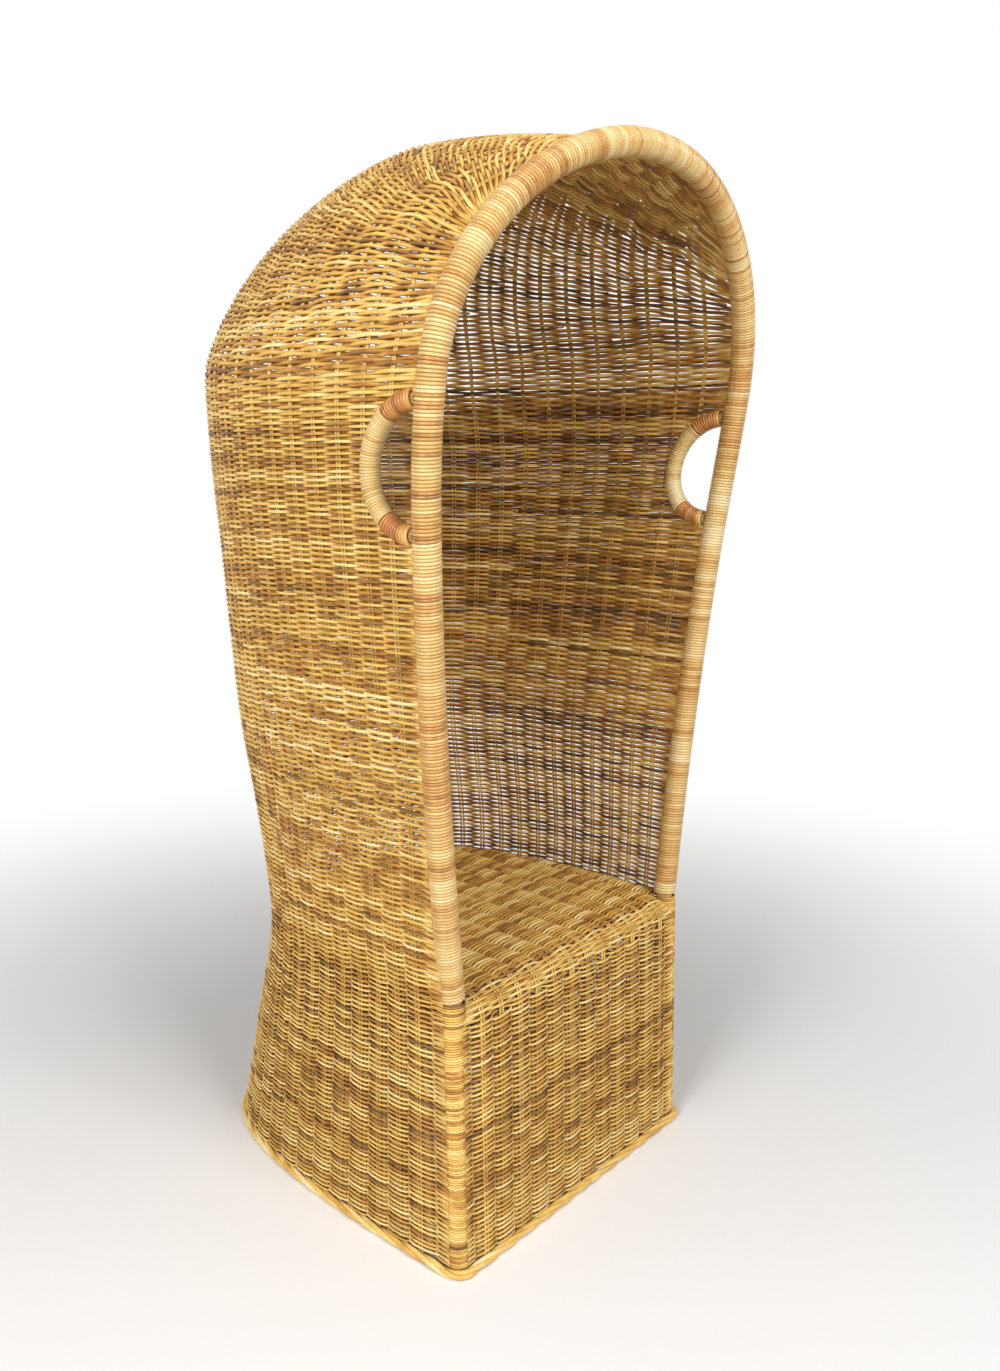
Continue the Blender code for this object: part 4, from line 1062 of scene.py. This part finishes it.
for side, word in ((-1, "left"), (1, "right")):
    path = ringLine * (side, 1, 1)
    core = chair["handleCoreRadius"]
    turns = wound(path, (1, 0, 0), lashEnd + wrap["gap"], ringReach - lashEnd - wrap["gap"], wrap,
                  core + wrap["lie"])
    canes("handleWrap" + word.capitalize(), [turns], wrap["radius"], bindingCane,
          ["handle_wrap_" + word], sides=2, tone=turnTone(wrap), power=wrap["power"])
    for end, route in (("upper", path), ("lower", path[::-1])):
        turns = wound(route, (1, 0, 0), lashing["start"], lashEnd, lashing, core + lashing["lie"])
        canes("handleLashing" + word.capitalize() + end.capitalize(), [turns], lashing["radius"],
              lashingCane, ["handle_lashing_" + word + "_" + end], sides=2, tone=lashingTone)

border = {"strands": 3, "radius": 0.0040, "coil": 0.0038, "pitch": 0.150, "points": 18, "tone": 0.70,
          "toneSpread": 0.1}


def borderPath():
    # once round the base, from the front's middle to the left first
    height = chair["borderRadius"]
    out = chair["hoopRadius"] + chair["gap"] + chair["borderRadius"]
    half, front = hoopHalf(height), hoopDepth(height)
    row = rowPoints(half + out, front, height, backDepth(height) + out - chair["baseOut"], height,
                    squareness(height), 0.0)
    left = [(0.0, front - out, height)]
    for turn in np.linspace(math.pi / 2, 0, 13)[:-1]:
        left.append((-half - out * math.cos(turn), front - out * math.sin(turn), height))
    right = [(-x, y, z) for x, y, z in reversed(left)]
    return atShares(np.vstack([left, row, right]), np.linspace(0, 1, 900))


path = borderPath()
borderReach = lengthsAlong(path)[-1]
borderParts = {"front": [], "left": [], "back": [], "right": []}
cornerEnd = hoopHalf(0.0) + (chair["hoopRadius"] + chair["borderRadius"]) * math.pi / 2
cornerEnd += 2 * chair["borderRadius"]
for i in range(border["strands"]):
    strand = wound(path, (0, 0, 1), 0.0, borderReach, border, border["coil"],
                   2 * math.pi * i / border["strands"])[:, :3]
    lengths = lengthsAlong(strand)
    share = lengths / lengths[-1] * borderReach
    front = (share < cornerEnd) | (share > borderReach - cornerEnd)
    edge = np.flatnonzero(np.diff(front.astype(int)))
    first, last = edge[0] + 1, edge[-1]
    borderParts["front"].append(np.vstack([strand[last:-1], strand[:first + 1]]))
    rear = strand[:, 1] > chair["seamDepth"]
    edge = np.flatnonzero(np.diff(rear.astype(int)))
    borderParts["left"].append(strand[first:edge[0] + 2])
    borderParts["back"].append(strand[edge[0] + 1:edge[1] + 1])
    borderParts["right"].append(strand[edge[1]:last + 1])
for word, lines in borderParts.items():
    canes("border" + word.capitalize(), lines, border["radius"], weftCane, ["border_" + word],
          sides=2, tone=plainTone(border))
print("binding, handles and border made")

# camera where the photograph was taken from; angles in degrees
view = {"place": (-1.4777, -1.37545, 1.2424), "yaw": 40.39, "pitch": 10.93, "roll": 0.43, "lens": 30.402}
yaw, pitch, roll = (math.radians(view[key]) for key in ("yaw", "pitch", "roll"))
ahead = Vector((math.cos(yaw) * math.cos(pitch), math.sin(yaw) * math.cos(pitch), -math.sin(pitch)))
right = ahead.cross(Vector((0, 0, 1))).normalized()
above = right.cross(ahead)
cosine, sine = math.cos(roll), math.sin(roll)
axes = Matrix((cosine * right + sine * above, cosine * above - sine * right, -ahead)).transposed()
cameraData = bpy.data.cameras.new("camera")
cameraData.sensor_fit = "VERTICAL"
cameraData.sensor_height = cameraData.sensor_width = 36.0
cameraData.lens = view["lens"]
camera = newObject("camera", cameraData)
camera.matrix_world = Matrix.Translation(view["place"]) @ axes.to_4x4()
bpy.context.scene.camera = camera

# floor, world and lamps
studio = {"floorSize": 60.0, "floorColour": (0.78, 0.77, 0.76), "floorRoughness": 0.9, "fadeFrom": 0.4,
          "fadeTo": 2.6, "fill": 0.22, "keyPower": 136.0, "keySize": 1.6, "frontPower": 115.0}


def raysOf(tree, first, *others):
    # 1 for rays of any of these kinds
    rays = node(tree, "ShaderNodeLightPath").outputs
    seen = rays[first]
    for kind in others:
        seen = maths(tree, "MAXIMUM", seen, rays[kind])
    return seen


bpy.ops.mesh.primitive_plane_add(size=studio["floorSize"], location=(0, 0, 0))
floor = bpy.context.object
floor.name = "floor"
paleFloor, tree, shader = newMaterial("paleFloor")
setInputs(tree, shader, {"Base Color": (*studio["floorColour"], 1.0), "Roughness": studio["floorRoughness"]})
# away from the chair the floor fades to the background's white
distance = node(tree, "ShaderNodeVectorMath", {0: objectPlace(tree)}, operation="LENGTH").outputs["Value"]
fade = node(tree, "ShaderNodeMapRange", {"Value": distance, "From Min": studio["fadeFrom"],
                                         "From Max": studio["fadeTo"]}, interpolation_type="SMOOTHSTEP")
shown = maths(tree, "MULTIPLY", fade.outputs["Result"], raysOf(tree, "Is Camera Ray", "Is Glossy Ray"))
white = node(tree, "ShaderNodeEmission")
mix = node(tree, "ShaderNodeMixShader", {0: shown, 1: shader.outputs[0], 2: white.outputs[0]})
setInputs(tree, tree.nodes["Material Output"], {"Surface": mix.outputs[0]})
floor.data.materials.append(paleFloor)

world = bpy.data.worlds.new("studio")
bpy.context.scene.world = world
world.use_nodes = True
tree = world.node_tree
seen = raysOf(tree, "Is Camera Ray", "Is Glossy Ray", "Is Transmission Ray")
strength = maths(tree, "ADD", maths(tree, "MULTIPLY", seen, 1.0 - studio["fill"]), studio["fill"])
setInputs(tree, tree.nodes["Background"], {"Color": (1.0, 1.0, 1.0, 1.0), "Strength": strength})


def lamp(name, place, target, power):
    data = bpy.data.lights.new(name, "AREA")
    data.energy, data.size = power, studio["keySize"]
    made = newObject(name, data)
    made.location = place
    made.rotation_euler = (Vector(target) - Vector(place)).to_track_quat("-Z", "Y").to_euler()


lamp("keyLamp", (-3.5, -0.7, 2.3), (0, 0, 0.9), studio["keyPower"])
lamp("frontLamp", (-0.7, -3.2, 2.7), (0, 0, 0.5), studio["frontPower"])
bpy.context.scene.view_settings.view_transform = "Standard"
print("camera, floor and lights set")
